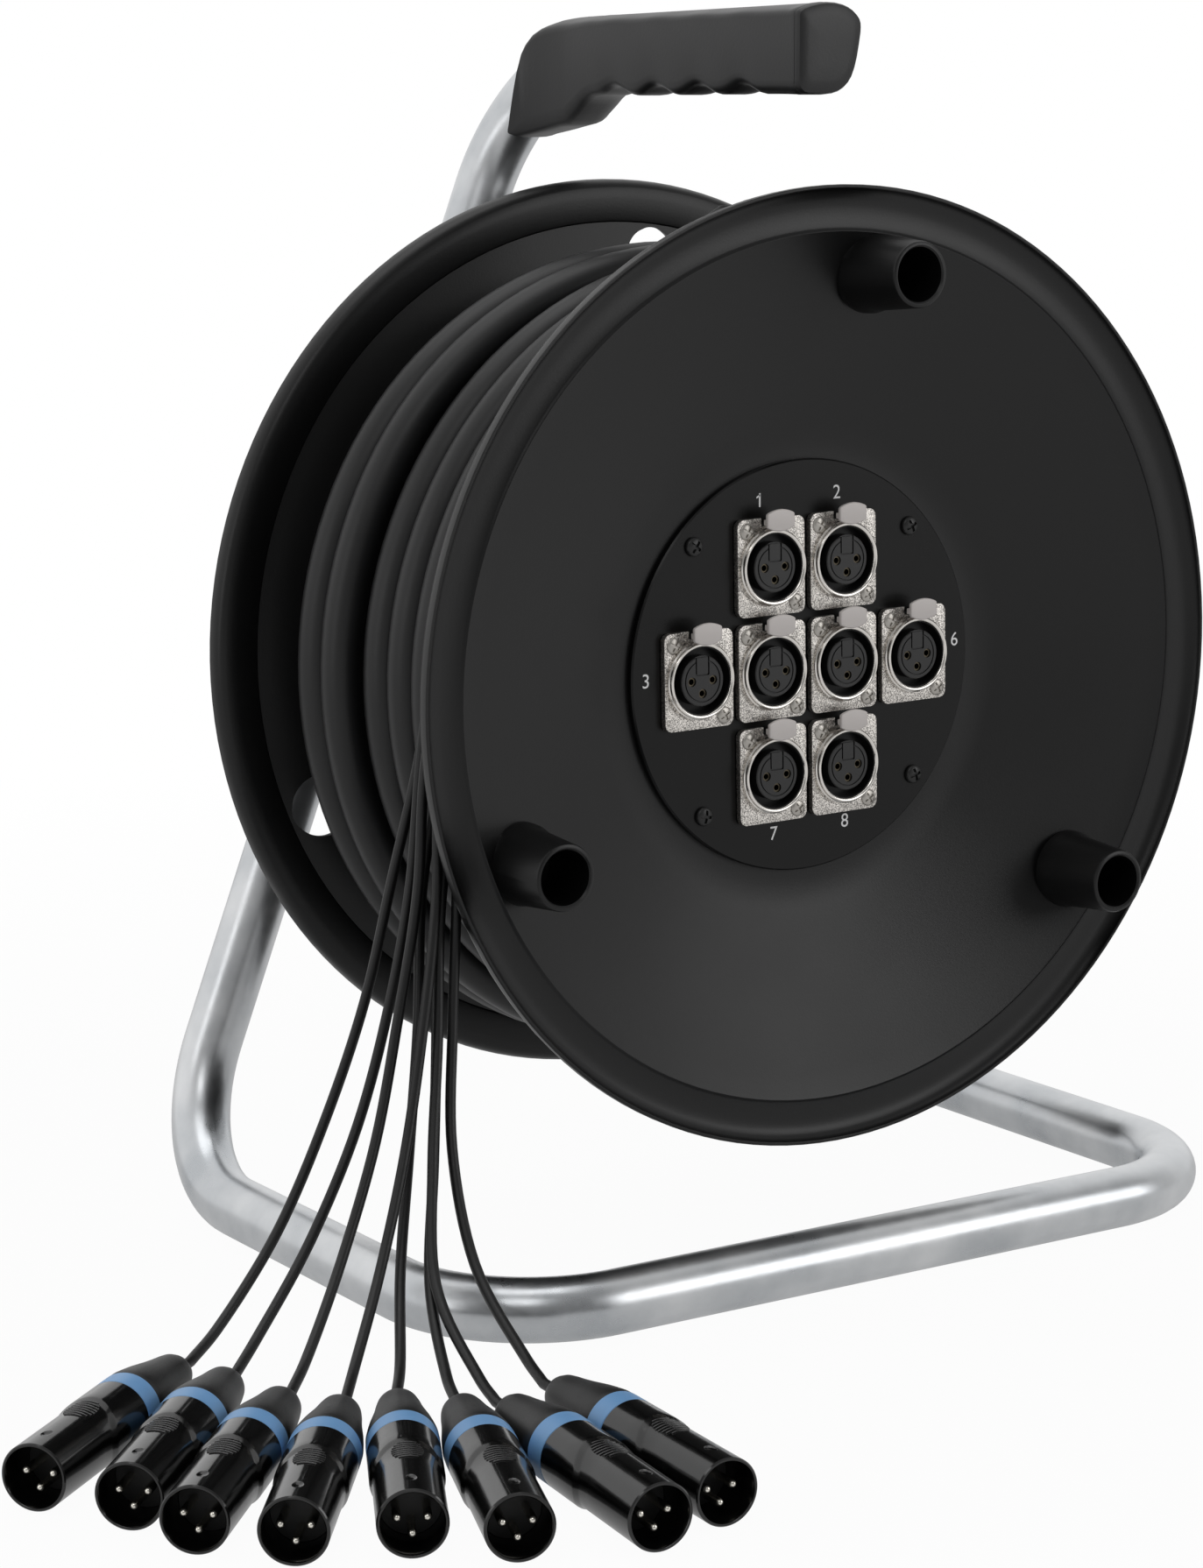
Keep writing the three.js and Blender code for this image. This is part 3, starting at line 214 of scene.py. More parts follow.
# Tail cords: eight thin round cables with a soft black jacket. They leave the breakout
# boot in a ring of seven round one, run down over the winding and fan out on the floor.
DRUM_CENTRE = Vector((0, -10.4, 192.5))
BOOT_ANGLE, BOOT_LIFT, BOOT_Y, BOOT_LENGTH = math.radians(92), 140.8, -46, 34
GAP = 0.3
TAIL_DIAMETER, TAIL_STRAIGHT, INTO_PLUG = 3.3, 8, 50  # the cord runs on inside its plug
TAIL_RING_R, TAIL_RING_TURN = 4.7, math.radians(11.5)
TAIL_SLOTS = (2, 1, 0, 6, 3, -1, 4, 5)
PLUG_AXIS_HEIGHT = 10.2
PLUG_HEADINGS = [math.radians(a) for a in (-141.9, -134.2, -133.2, -127.2, -117.9, -111.6, -96.5, -93.5)]
TAIL_ROUTES = [
    [
        (-40.4, -51.9, 324.7), (-54.7, -52, 318.1), (-67.5, -51.9, 309.5), (-82.3, -52.2, 297.9),
        (-103.9, -52.2, 276.6), (-123.1, -52.1, 244.7), (-132.7, -52, 208.8), (-136.5, -47.4, 173.6),
        (-144.3, -43.7, 136.6), (-155.9, -46.4, 100.7), (-172.3, -50.3, 67), (-193.7, -58, 36.9),
        (-221.4, -71.3, 15.3), (-240.7, -84.2),
    ],
    [
        (-42, -53.8, 329.6), (-56, -55.4, 321.3), (-69.2, -56.9, 312.4), (-84.4, -58, 300.6),
        (-106.7, -58, 278.8), (-126.4, -57.9, 246.1), (-136.3, -57.8, 209.3), (-140, -54.4, 174.3),
        (-143.6, -53.6, 137), (-153.8, -57.4, 100.9), (-168.4, -62.7, 66.7), (-189.7, -71.1, 36.7),
        (-216.5, -86.3, 15.4), (-233.8, -101.5),
    ],
    [
        (-42.3, -57.4, 330.8), (-56.6, -59.3, 322.5), (-69.7, -60.8, 313), (-84.4, -61.9, 300.6),
        (-106.7, -61.9, 278.9), (-126.4, -62, 246.1), (-136.4, -62, 209.3), (-142.5, -60.9, 172.6),
        (-145.6, -61.2, 135.5), (-155.7, -66.1, 99.2), (-168.9, -74.5, 64.6), (-188.2, -87.3, 34.7),
        (-212.1, -108.1, 14.3), (-228.5, -124.9),
    ],
    [
        (-42.3, -61.3, 330.4), (-56.2, -63.2, 321.9), (-69.4, -64.7, 312.7), (-84.4, -65.8, 300.6),
        (-106.6, -65.8, 278.7), (-126.3, -65.8, 246.1), (-136.1, -66, 209.2), (-141.3, -66.9, 170.1),
        (-143.3, -68.1, 133.4), (-151.5, -73.6, 96.9), (-163.7, -83, 62.3), (-181.4, -97.9, 32.6),
        (-203.8, -121.1, 13.4), (-218.3, -139.8),
    ],
    [
        (-40, -55.6, 323.4), (-53.9, -55.6, 316.6), (-67.1, -55.7, 308.7), (-82.2, -56.1, 297.8),
        (-103.8, -56.1, 276.6), (-123, -56.1, 244.7), (-132.6, -56.1, 208.8), (-134.1, -53.9, 168.9),
        (-139.9, -53.7, 131.3), (-147, -62.9, 94.6), (-158.1, -75.8, 60.2), (-173, -95.4, 30.9),
        (-190.2, -124.1, 12.7), (-202.8, -144.3),
    ],
    [
        (-41.1, -57.6, 326.7), (-55, -58.6, 318.9), (-67.8, -59.4, 309.8), (-82.3, -60, 297.9),
        (-103.9, -60, 276.6), (-123.1, -60, 244.7), (-132.8, -60, 208.8), (-134.2, -59.4, 168.8),
        (-139.2, -61.6, 130.6), (-145, -70.5, 93.5), (-154.3, -83.8, 58.4), (-168, -103.8, 28.5),
        (-181.5, -135.4, 11.7), (-190.4, -157.6),
    ],
    [
        (-40.2, -60.4, 323.9), (-54.1, -61.9, 317), (-67.2, -63.2, 309), (-82.2, -63.9, 297.8),
        (-103.8, -63.9, 276.5), (-122.9, -63.9, 244.6), (-132.5, -63.9, 208.8), (-134.3, -63.9, 167.6),
        (-140.5, -66, 129.7), (-147, -74.6, 92.8), (-157.1, -87.8, 58.3), (-169, -109.1, 29.4),
        (-175, -142.4, 12.2), (-179.7, -165.8),
    ],
    [
        (-40.8, -63.5, 326.3), (-54.9, -65.3, 318.8), (-67.7, -66.9, 309.8), (-82.3, -67.9, 297.9),
        (-103.9, -67.7, 276.6), (-123, -67.8, 244.7), (-132.6, -67.8, 208.8), (-134.4, -68.2, 170.9),
        (-135.9, -67.9, 133.5), (-140.7, -72.9, 96.7), (-148, -84, 61.7), (-153.1, -104.9, 31.9),
        (-156.1, -137, 13.3), (-159.9, -160.4),
    ],
]


def round_axis(radius, angle, y):
    """A point round the Y axis; its angle runs from +X towards +Z."""
    return Vector((radius * math.cos(angle), y, radius * math.sin(angle)))


def smooth_route(points, per_span=8):
    """A smooth line through the points, with a straight first and last stretch."""
    inner = [Vector(p) for p in points[1:-1]]
    ends = [2 * inner[0] - inner[1], *inner, 2 * inner[-1] - inner[-2]]
    line = [Vector(points[0])]
    for a, b, c, d in zip(ends, ends[1:], ends[2:], ends[3:]):
        ab, bc, cd = ((q - p).length ** 0.5 for p, q in ((a, b), (b, c), (c, d)))
        leave = ((b - a) / ab - (c - a) / (ab + bc) + (c - b) / bc) * bc
        reach = ((c - b) / bc - (d - b) / (bc + cd) + (d - c) / cd) * bc
        for step in range(per_span):
            t = step / per_span
            line.append(
                (2 * t**3 - 3 * t**2 + 1) * b
                + (t**3 - 2 * t**2 + t) * leave
                + (3 * t**2 - 2 * t**3) * c
                + (t**3 - t**2) * reach
            )
    return [*line, inner[-1], Vector(points[-1])]


def round_tube(name, line, diameter, sides=6):
    """A round solid along a line, with closed ends, as a curve of one open spline."""
    data = bpy.data.curves.new(name, "CURVE")
    data.dimensions = "3D"
    spline = data.splines.new("POLY")
    spline.points.add(len(line) - 1)
    for point, place in zip(spline.points, line):
        point.co = (*(place * MM), 1)
    data.bevel_depth = diameter / 2 * MM
    data.bevel_resolution = sides
    data.use_fill_caps = True
    piece = bpy.data.objects.new(name, data)
    bpy.context.collection.objects.link(piece)
    return piece


def span(line):
    """A line's length in metres."""
    return sum((b - a).length for a, b in zip(line, line[1:])) * MM


boot_along = round_axis(1, BOOT_ANGLE + math.pi / 2, 0)
boot_out = round_axis(1, BOOT_ANGLE, 0)
boot_middle = DRUM_CENTRE + round_axis(BOOT_LIFT, BOOT_ANGLE, BOOT_Y)
boot_face = boot_middle + (BOOT_LENGTH / 2 + GAP) * boot_along
boot_rear = boot_middle - (BOOT_LENGTH / 2 + GAP) * boot_along

jacket = Finish("thin cable jacket", Base_Color=(0.004, 0.004, 0.0042), Specular_IOR_Level=0.4)
jacket_grain = jacket.noise(0.0011)
jacket.roughen(0.36 + jacket_grain * 0.16)
jacket.bump(jacket_grain, 0.00003)

tail_lines, plug_places = [], []
for slot, route, heading in zip(TAIL_SLOTS, TAIL_ROUTES, PLUG_HEADINGS):
    start = boot_face.copy()
    if slot >= 0:
        turn = TAIL_RING_TURN + 2 * math.pi * slot / (len(TAIL_SLOTS) - 1)
        start += TAIL_RING_R * (math.cos(turn) * boot_out + math.sin(turn) * Vector((0, 1, 0)))
    ahead = Vector((math.cos(heading), math.sin(heading), 0))
    end = Vector((*route[-1], PLUG_AXIS_HEIGHT))
    leaving, entering = start + TAIL_STRAIGHT * boot_along, end - TAIL_STRAIGHT * ahead
    line = smooth_route([start, leaving, *route[:-1], entering, end])
    tail_lines.append([*line, end + INTO_PLUG * ahead])
    plug_places.append((end, ahead))
tails = []
for number, line in enumerate(tail_lines, 1):
    tail = round_tube(f"tail_{number}", line, TAIL_DIAMETER)
    jacket.wear(tail)
    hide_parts(f"tail_cord_{number}")
    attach(tail, "frame")
    tails.append(tail)


# Multicore's free end: the thick cable leaves the top turn, hidden behind the front
# flange, and crosses the turns into the breakout boot.
CABLE_DIAMETER = 14
CABLE_END_ROUTE = (
    (146.2, 20, 31), (146.2, 26, 28), (146.2, 33, 22), (146.2, 41, 12), (146.2, 49, -1), (146.2, 57, -15),
    (145.6, 64, -28), (145, 70.5, -39),
)
cable_jacket = Finish("multicore jacket", Specular_IOR_Level=0.4)
bloom = cable_jacket.noise(0.03, detail=4)
fine = cable_jacket.noise(0.0006)
cable_jacket.blend(bloom, (0.0045, 0.0045, 0.0048), (0.008, 0.008, 0.0085))
cable_jacket.roughen(0.36 + bloom * 0.14)
cable_jacket.bump(fine, 0.00002)
end_line = smooth_route(
    [
        *(DRUM_CENTRE + round_axis(r, math.radians(a), y) for r, a, y in CABLE_END_ROUTE),
        boot_rear - CABLE_DIAMETER * boot_along,
        boot_rear,
    ]
)
cable_end = round_tube("cable_end", end_line, CABLE_DIAMETER, sides=10)
cable_jacket.wear(cable_end)
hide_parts("multicore_end")
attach(cable_end, "frame")


# Turned shapes: an outline of radius and place is drawn vertex by vertex and spun round
# the Y axis. The plugs' shells, the boots, the flanges and the sockets start this way.
DOUBLE_GAP = 0.005


def pull(move):
    """Extrude what is selected, by a move in metres."""
    bpy.ops.mesh.extrude_region_move(TRANSFORM_OT_translate={"value": move})


def pencil(name, start, moves):
    """A line drawn from a start by moves, all in metres, left in edit mode and selected."""
    bpy.ops.mesh.primitive_plane_add(size=MM)
    piece = bpy.context.object
    piece.name = piece.data.name = name
    bpy.ops.object.mode_set(mode="EDIT")
    bpy.ops.mesh.merge(type="CENTER")
    bpy.ops.transform.translate(value=start)
    for move in moves:
        pull(move)
    bpy.ops.mesh.select_all(action="SELECT")
    return piece


def close_mesh():
    """Merge what lies double, turn the faces outwards and leave edit mode."""
    bpy.ops.mesh.select_all(action="SELECT")
    bpy.ops.mesh.remove_doubles(threshold=DOUBLE_GAP * MM)
    bpy.ops.mesh.normals_make_consistent(inside=False)
    bpy.ops.object.mode_set(mode="OBJECT")


def turned(name, outline, steps):
    pairs = zip(outline, outline[1:])
    moves = [((next_r - r) * MM, (next_y - y) * MM, 0) for (r, y), (next_r, next_y) in pairs]
    piece = pencil(name, (outline[0][0] * MM, outline[0][1] * MM, 0), moves)
    bpy.ops.mesh.spin(steps=steps, angle=2 * math.pi, center=(0, 0, 0), axis=(0, 1, 0))
    close_mesh()
    return piece


def pick(piece):
    bpy.ops.object.select_all(action="DESELECT")
    piece.select_set(True)
    bpy.context.view_layer.objects.active = piece
    return piece


def to_mesh(piece):
    pick(piece)
    bpy.ops.object.convert(target="MESH")
    return piece


def at(x, y, z):
    return Matrix.Translation(Vector((x, y, z)) * MM)


def settle(piece, matrix):
    """Place a piece and apply its place, so that its object sits at the origin."""
    pick(piece).matrix_world = matrix
    bpy.ops.object.transform_apply(location=True, rotation=True, scale=True)
    return piece


def finish_mesh(piece, bevel=0, segments=2, angle=30, smooth=35):
    """Round a piece's sharp edges and smooth its faces."""
    pick(piece)
    if bevel:
        rounding = piece.modifiers.new("rounding", "BEVEL")
        rounding.width, rounding.segments = bevel * MM, segments
        rounding.limit_method, rounding.angle_limit = "ANGLE", math.radians(angle)
        rounding.harden_normals = False
        bpy.ops.object.modifier_apply(modifier=rounding.name)
    bpy.ops.object.shade_smooth_by_angle(angle=math.radians(smooth))
    return piece


def carve(piece, cutter, operation="DIFFERENCE"):
    """Cut a piece with another, or join the two into one solid."""
    cutting = pick(piece).modifiers.new("cutting", "BOOLEAN")
    cutting.operation, cutting.object, cutting.solver = operation, cutter, "EXACT"
    bpy.ops.object.modifier_apply(modifier=cutting.name)
    bpy.data.objects.remove(cutter)
    return piece


def merge_pieces(first, *others):
    pick(first)
    for other in others:
        other.select_set(True)
    bpy.ops.object.join()
    return first


def copy_to(piece, name, matrix):
    """A copy with its own mesh, placed and then settled."""
    pick(piece)
    bpy.ops.object.duplicate(linked=False)
    twin = bpy.context.object
    twin.name = twin.data.name = name
    return settle(twin, matrix)


# Breakout boot: a moulded rubber boot, with grip rings and a flat face that the tails
# leave.
rubber = Finish("moulded rubber", Base_Color=(0.005, 0.005, 0.0052))
rubber_grain = rubber.noise(0.0005)
rubber.roughen(0.38 + rubber_grain * 0.16)
rubber.bump(rubber_grain, 0.00004)
BOOT_R, BOOT_EDGE = 9, 0.25
BOOT_GROOVES, GROOVE_FIRST, GROOVE_PITCH, GROOVE_R = 5, 4, 4, 8.4
half = BOOT_LENGTH / 2
outline = [(0, -half), (BOOT_R - 0.8, -half), (BOOT_R, 1.2 - half)]
for groove in range(BOOT_GROOVES):
    y = GROOVE_FIRST - half + groove * GROOVE_PITCH
    outline += [(BOOT_R, y), (GROOVE_R, y + 0.5), (GROOVE_R, y + 1.7), (BOOT_R, y + 2.2)]
outline += [(BOOT_R - 0.1, 8), (7.5, half - 0.8), (7, half), (0, half)]
breakout = finish_mesh(turned("breakout", outline, 48), bevel=BOOT_EDGE)
rubber.wear(breakout)
to_boot = Matrix((boot_out, boot_along, boot_out.cross(boot_along))).transposed().to_4x4()
settle(breakout, at(*boot_middle) @ to_boot)
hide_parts("breakout_boot")
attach(breakout, "frame")
end_line[0] * MM
span(end_line)


# Plug shells: black lacquered metal with a cup in front, three pale pins in it, a slim
# front part, a wider sleeve behind a curved shoulder, and a ribbed place for the thumb.
lacquer = Finish("black lacquer", Base_Color=(0.002, 0.002, 0.002), Coat_Weight=0.2)
orange_peel = lacquer.noise(0.004)
lacquer.roughen(0.13 + orange_peel * 0.08)
lacquer.bump(orange_peel, 0.00002)
# The same black also forms the painted-shade skin in the socket mouths below.
black_cup_and_painted_shade = Finish("cup floor", Base_Color=(0.003, 0.003, 0.003), Roughness=0.5)
black_cup_and_painted_shade.bump(black_cup_and_painted_shade.noise(0.0006), 0.00003)
pin_metal = Finish("pin metal", Base_Color=(0.80, 0.77, 0.70), Metallic=1.0)
pin_metal.roughen(0.18 + pin_metal.noise(0.001) * 0.1)
PIN_PLACES = ((-4, 0.4), (4, 0.4), (0, -4))
PLUG_R, PLUG_SLEEVE_R, PLUG_CUP_R, PLUG_CUP_DEPTH = 9.5, 10.2, 8.3, 14
PLUG_LENGTH, PLUG_SHELL = 91, 50
SHELL_OUTLINE = [
    (PLUG_CUP_R, PLUG_CUP_DEPTH + 1), (PLUG_CUP_R, 0.5), (PLUG_CUP_R + 0.35, 0), (PLUG_R - 0.35, 0),
    (PLUG_R, 0.4), (PLUG_R, 8), (PLUG_R, 16), (PLUG_R, 24), (PLUG_R, 30), (PLUG_R + 0.15, 31),
    (PLUG_SLEEVE_R - 0.1, 32.4), (PLUG_SLEEVE_R, 33.4), (PLUG_SLEEVE_R, 40), (PLUG_SLEEVE_R, PLUG_SHELL),
    (PLUG_CUP_R, PLUG_SHELL), (PLUG_CUP_R, PLUG_CUP_DEPTH + 1),
]
shell = turned("shell", SHELL_OUTLINE, 64)
SHOULDER_START, SHOULDER_END, SHOULDER_WAVE, SHOULDER_SHIFT = 29.5, 34, 3, 1
for vertex in shell.data.vertices:  # the shoulder runs forward over the sides
    on_shoulder = SHOULDER_START * MM < vertex.co.y < SHOULDER_END * MM
    if on_shoulder and vertex.co.xz.length > PLUG_CUP_R * MM * 1.05:
        side = math.cos(2 * math.atan2(vertex.co.x, vertex.co.z))
        vertex.co.y += (SHOULDER_WAVE * side + SHOULDER_SHIFT) * MM
finish_mesh(shell, smooth=40)
RECESS_R, RECESS_LENGTH, RECESS_PLACE, RECESS_LIFT, RECESS_FLATNESS = 2.1, 5.5, 8.5, 0.7, 0.62
bpy.ops.mesh.primitive_uv_sphere_add(segments=32, ring_count=16, radius=RECESS_R * MM)
oval = Matrix.Diagonal((1, RECESS_LENGTH / RECESS_R / 2, RECESS_FLATNESS, 1))
carve(shell, settle(bpy.context.object, at(0, RECESS_PLACE, PLUG_R + RECESS_LIFT) @ oval))
lacquer.wear(shell)
RIB_COUNT, RIB_PITCH, RIB_FIRST, RIB_SIZE, RIB_STEPS = 8, 1.5, 24, 0.75, 12
THUMB_HALF, THUMB_ROUNDING = 4.4, 0.85
ribs = []
for rib in range(RIB_COUNT):
    along = (rib - (RIB_COUNT - 1) / 2) / (RIB_COUNT / 2)
    reach = THUMB_HALF * math.sqrt(1 - along**2 * THUMB_ROUNDING) / PLUG_R
    turns = [math.pi / 2 + reach * (2 * i / RIB_STEPS - 1) for i in range(RIB_STEPS + 1)]
    arc = [round_axis(PLUG_R + 0.02, turn, RIB_FIRST + rib * RIB_PITCH) for turn in turns]
    ribs.append(lacquer.wear(to_mesh(round_tube("rib", arc, RIB_SIZE, sides=3))))
FLOOR_R, FLOOR_END = PLUG_CUP_R - 0.1, 20
floor_outline = [(0, PLUG_CUP_DEPTH), (FLOOR_R, PLUG_CUP_DEPTH), (FLOOR_R, FLOOR_END), (0, FLOOR_END)]
insert = black_cup_and_painted_shade.wear(finish_mesh(turned("insert", floor_outline, 48)))
PIN_OUTLINE = [(0, 3), (0.5, 3.1), (0.95, 3.5), (1.2, 4.2), (1.2, 15), (0, 15)]
pins = []
for x, z in PIN_PLACES:
    pin = finish_mesh(turned("pin", PIN_OUTLINE, 20), smooth=50)
    pins.append(settle(pin_metal.wear(pin), at(x, 0, z)))
shell = merge_pieces(shell, *ribs, insert, *pins)


# Plug boots: a blue marker band round the joint, then a soft black boot that narrows to
# the cable, with short flutes round it.
band_paint = Finish("blue marker band")
band_cloud = band_paint.noise(0.006)
band_paint.blend(band_cloud, (0.13, 0.30, 0.55), (0.18, 0.36, 0.63))
band_paint.roughen(0.38 + band_cloud * 0.12)
BAND_START, BAND_END, BAND_BORE_R, BAND_EDGE = PLUG_SHELL + GAP, 58, 8, 0.2
BAND_OUTLINE = [
    (BAND_BORE_R, BAND_START), (PLUG_SLEEVE_R - BAND_EDGE, BAND_START),
    (PLUG_SLEEVE_R, BAND_START + BAND_EDGE), (PLUG_SLEEVE_R, BAND_END - BAND_EDGE),
    (PLUG_SLEEVE_R - BAND_EDGE, BAND_END), (BAND_BORE_R, BAND_END), (BAND_BORE_R, BAND_START),
]
band = band_paint.wear(finish_mesh(turned("band", BAND_OUTLINE, 64), smooth=40))
BOOT_OUTLINE = [
    (0, BAND_END), (9.9, BAND_END), (10.1, BAND_END + 0.5), (10.1, 61), (9.75, 64), (9.2, 68), (8.5, 72),
    (7.8, 76), (7.2, 80), (6.7, 84), (6.2, 87), (5.3, 89.3), (3.9, 90.6), (2.4, PLUG_LENGTH),
    (0, PLUG_LENGTH),
]
boot = turned("boot", BOOT_OUTLINE, 64)
FLUTE_COUNT, FLUTE_TILT, FLUTE_THICKNESS = 8, math.radians(9), 0.95
FLUTE_ROWS = ((66.5, 10.3, 5.5, 1.5), (78.5, 8.4, 4.6, 1.25))  # place, radius, length, width
flutes = []
for row, (along, radius, length, width) in enumerate(FLUTE_ROWS):
    for i in range(FLUTE_COUNT):
        bpy.ops.mesh.primitive_uv_sphere_add(segments=16, ring_count=10, radius=MM)
        turn = 2 * math.pi * (i + row / 2) / FLUTE_COUNT
        lying = Matrix.Rotation(-turn, 4, "Y") @ Matrix.Rotation(FLUTE_TILT, 4, "Z")
        oval = Matrix.Diagonal((FLUTE_THICKNESS, length, width, 1))
        flutes.append(settle(bpy.context.object, at(*round_axis(radius, turn, along)) @ lying @ oval))
carve(boot, merge_pieces(*flutes))
finish_mesh(boot, smooth=45)
rubber.wear(boot)
band = merge_pieces(band, boot)

for number, (line, tail, (end, ahead)) in enumerate(zip(tail_lines, tails, plug_places), 1):
    face = end + (PLUG_LENGTH + GAP) * ahead
    across = Vector((0, 0, 1)).cross(ahead)
    stand = at(*face) @ Matrix((across, -ahead, Vector((0, 0, 1)))).transposed().to_4x4()
    plug = copy_to(shell, f"plug_shell_{number}", stand)
    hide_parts(f"plug_{number}")
    sleeve = copy_to(band, f"plug_sleeve_{number}", stand)
    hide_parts(f"plug_boot_{number}")
    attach(plug, "frame")
    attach(sleeve, "frame")
    line[0] * MM
    span(line)
bpy.data.objects.remove(shell)
bpy.data.objects.remove(band)


# Frame: one bright zinc-plated steel tube. Its handle runs back from the grip, and the
# long leg, base loop and short leg follow; the short leg is welded onto the long one.
TUBE_R, BEND_RADIUS, BEND_STEPS = 10, 48, 24
HALF_BASE, TUBE_HEIGHT = 149, 10
HANDLE = Vector((-3.2, 0, 386.3))
FRONT_BAR_Y, LEGS_Y, HANDLE_END_Y = -101, 101, -73.9
LEG_PLANE = Vector((0, LEGS_Y, 0))
handle_rear = HANDLE + LEG_PLANE
rear_left, rear_right = (Vector((side * HALF_BASE, LEGS_Y, TUBE_HEIGHT)) for side in (-1, 1))
long_way = (handle_rear - rear_left).normalized()
short_way = (Vector((0, LEGS_Y, DRUM_CENTRE.z)) - rear_right).normalized()
leg_normal = long_way.cross(Vector((0, 1, 0)))
if leg_normal.dot(short_way) > 0:
    leg_normal.negate()
weld = rear_right + short_way * (rear_left - rear_right).dot(leg_normal) / short_way.dot(leg_normal)
corners = [
    HANDLE + Vector((0, HANDLE_END_Y, 0)), handle_rear, rear_left,
    Vector((-HALF_BASE, FRONT_BAR_Y, TUBE_HEIGHT)), Vector((HALF_BASE, FRONT_BAR_Y, TUBE_HEIGHT)),
    rear_right, weld,
]


def bent_line(corners, radius, steps):
    """The centre line of a bent tube: straights joined by arcs."""
    line = [corners[0]]
    for before, corner, after in zip(corners, corners[1:], corners[2:]):
        back, ahead = (before - corner).normalized(), (after - corner).normalized()
        half_angle = back.angle(ahead) / 2
        middle = corner + (back + ahead).normalized() * radius / math.sin(half_angle)
        first = corner + back * radius / math.tan(half_angle) - middle
        sweep, axis = math.pi - 2 * half_angle, back.cross(first)
        turns = [Matrix.Rotation(sweep * i / steps, 3, axis) for i in range(steps + 1)]
        line += [middle + turn @ first for turn in turns]
    return [*line, corners[-1]]


zinc = Finish("bright zinc on steel", Metallic=1.0)
zinc_cloud = zinc.ramp(zinc.noise(0.03, detail=6), 0.3, 0.7)
zinc.blend(zinc_cloud, (0.46, 0.48, 0.50), (0.70, 0.71, 0.72))
zinc.roughen(0.2 + zinc_cloud * 0.1 + zinc.noise(0.004, detail=5) * 0.14)
zinc.bump(zinc.noise(0.02), 0.00005)
tube_line = bent_line(corners, BEND_RADIUS, BEND_STEPS)
tube = to_mesh(round_tube("tube", tube_line, TUBE_R * 2, sides=14))
BEAD_POINTS, BEAD_SIZE, BEAD_RIPPLES, BEAD_RIPPLE = 96, 3.4, 22, 0.25
sideways = short_way.cross(Vector((0, 1, 0)))
bead_line = []
for i in range(BEAD_POINTS):
    turn = 2 * math.pi * i / BEAD_POINTS
    off = TUBE_R * (math.cos(turn) * sideways + math.sin(turn) * Vector((0, 1, 0)))
    depth = TUBE_R * abs(math.cos(turn)) - off.dot(leg_normal)
    ripple = BEAD_RIPPLE * math.sin(BEAD_RIPPLES * turn)
    onto_leg = short_way * depth / short_way.dot(leg_normal)
    bead_line.append(weld + off * (1 + ripple / TUBE_R) + onto_leg)
bead = round_tube("bead", bead_line, BEAD_SIZE, sides=4)
bead.data.splines[0].use_cyclic_u = True
tube = merge_pieces(tube, to_mesh(bead))
finish_mesh(tube, smooth=60)
zinc.wear(tube)
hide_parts("frame_tube")
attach(tube, "frame")


# Axle: a turned steel axle with a shoulder and a grooved nose. The washer and the
# spring clip on its nose and the bronze bush in the hub are hidden inside the drum.
turned_steel = Finish("turned steel", Base_Color=(0.55, 0.55, 0.55), Metallic=1.0)
lathe_marks = turned_steel.noise(0.0008, stretch=(1, 12, 1))
turned_steel.roughen(0.26 + lathe_marks * 0.2)
turned_steel.bump(lathe_marks, 0.00001)
AXLE_NOSE, CLIP_Y = 23.4, 27.7
AXLE_OUTLINE = [
    (0, AXLE_NOSE), (7.4, AXLE_NOSE), (8, AXLE_NOSE + 0.6), (8, CLIP_Y - 0.3), (7, CLIP_Y - 0.3),
    (7, CLIP_Y + 1.5), (8, CLIP_Y + 1.5), (8, 72.8), (11.5, 72.8), (12, 73.3), (12, 100.6), (11.5, 101.1),
    (6, 101.1), (6, 120.9), (5.5, 121.4), (0, 121.4),
]
axle = finish_mesh(turned("axle_turned", AXLE_OUTLINE, 48), smooth=40)
turned_steel.wear(axle)
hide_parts("axle")
bronze = Finish("bush bronze", Base_Color=(0.45, 0.28, 0.12), Metallic=1.0)
bronze.roughen(0.38 + bronze.noise(0.001) * 0.2)
BUSH_OUTLINE = [(8.3, 31.1), (8.6, 30.8), (10, 30.8), (10.3, 31.1), (10.3, 72.3), (8.3, 72.3), (8.3, 31.1)]
bush = finish_mesh(turned("bush", BUSH_OUTLINE, 48), smooth=40)
bronze.wear(bush)
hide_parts("hub_bush")
for piece, body in ((axle, "frame"), (bush, "drum")):
    settle(piece, at(*DRUM_CENTRE))
    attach(piece, body)
for node in ("axle_washer", "axle_clip"):
    turned_steel.wear(bpy.data.objects[node])


# Grip: a moulded black cover, flat on its left side and rounded on its right, with four
# finger grooves below and a skirt that follows the bend down into the leg.
def drawn(name, points):
    """A flat face drawn point by point, left in edit mode."""
    moves = [(Vector(there) - Vector(here)) * MM for here, there in zip(points, points[1:])]
    piece = pencil(name, Vector(points[0]) * MM, moves)
    bpy.ops.mesh.edge_face_add()
    return piece


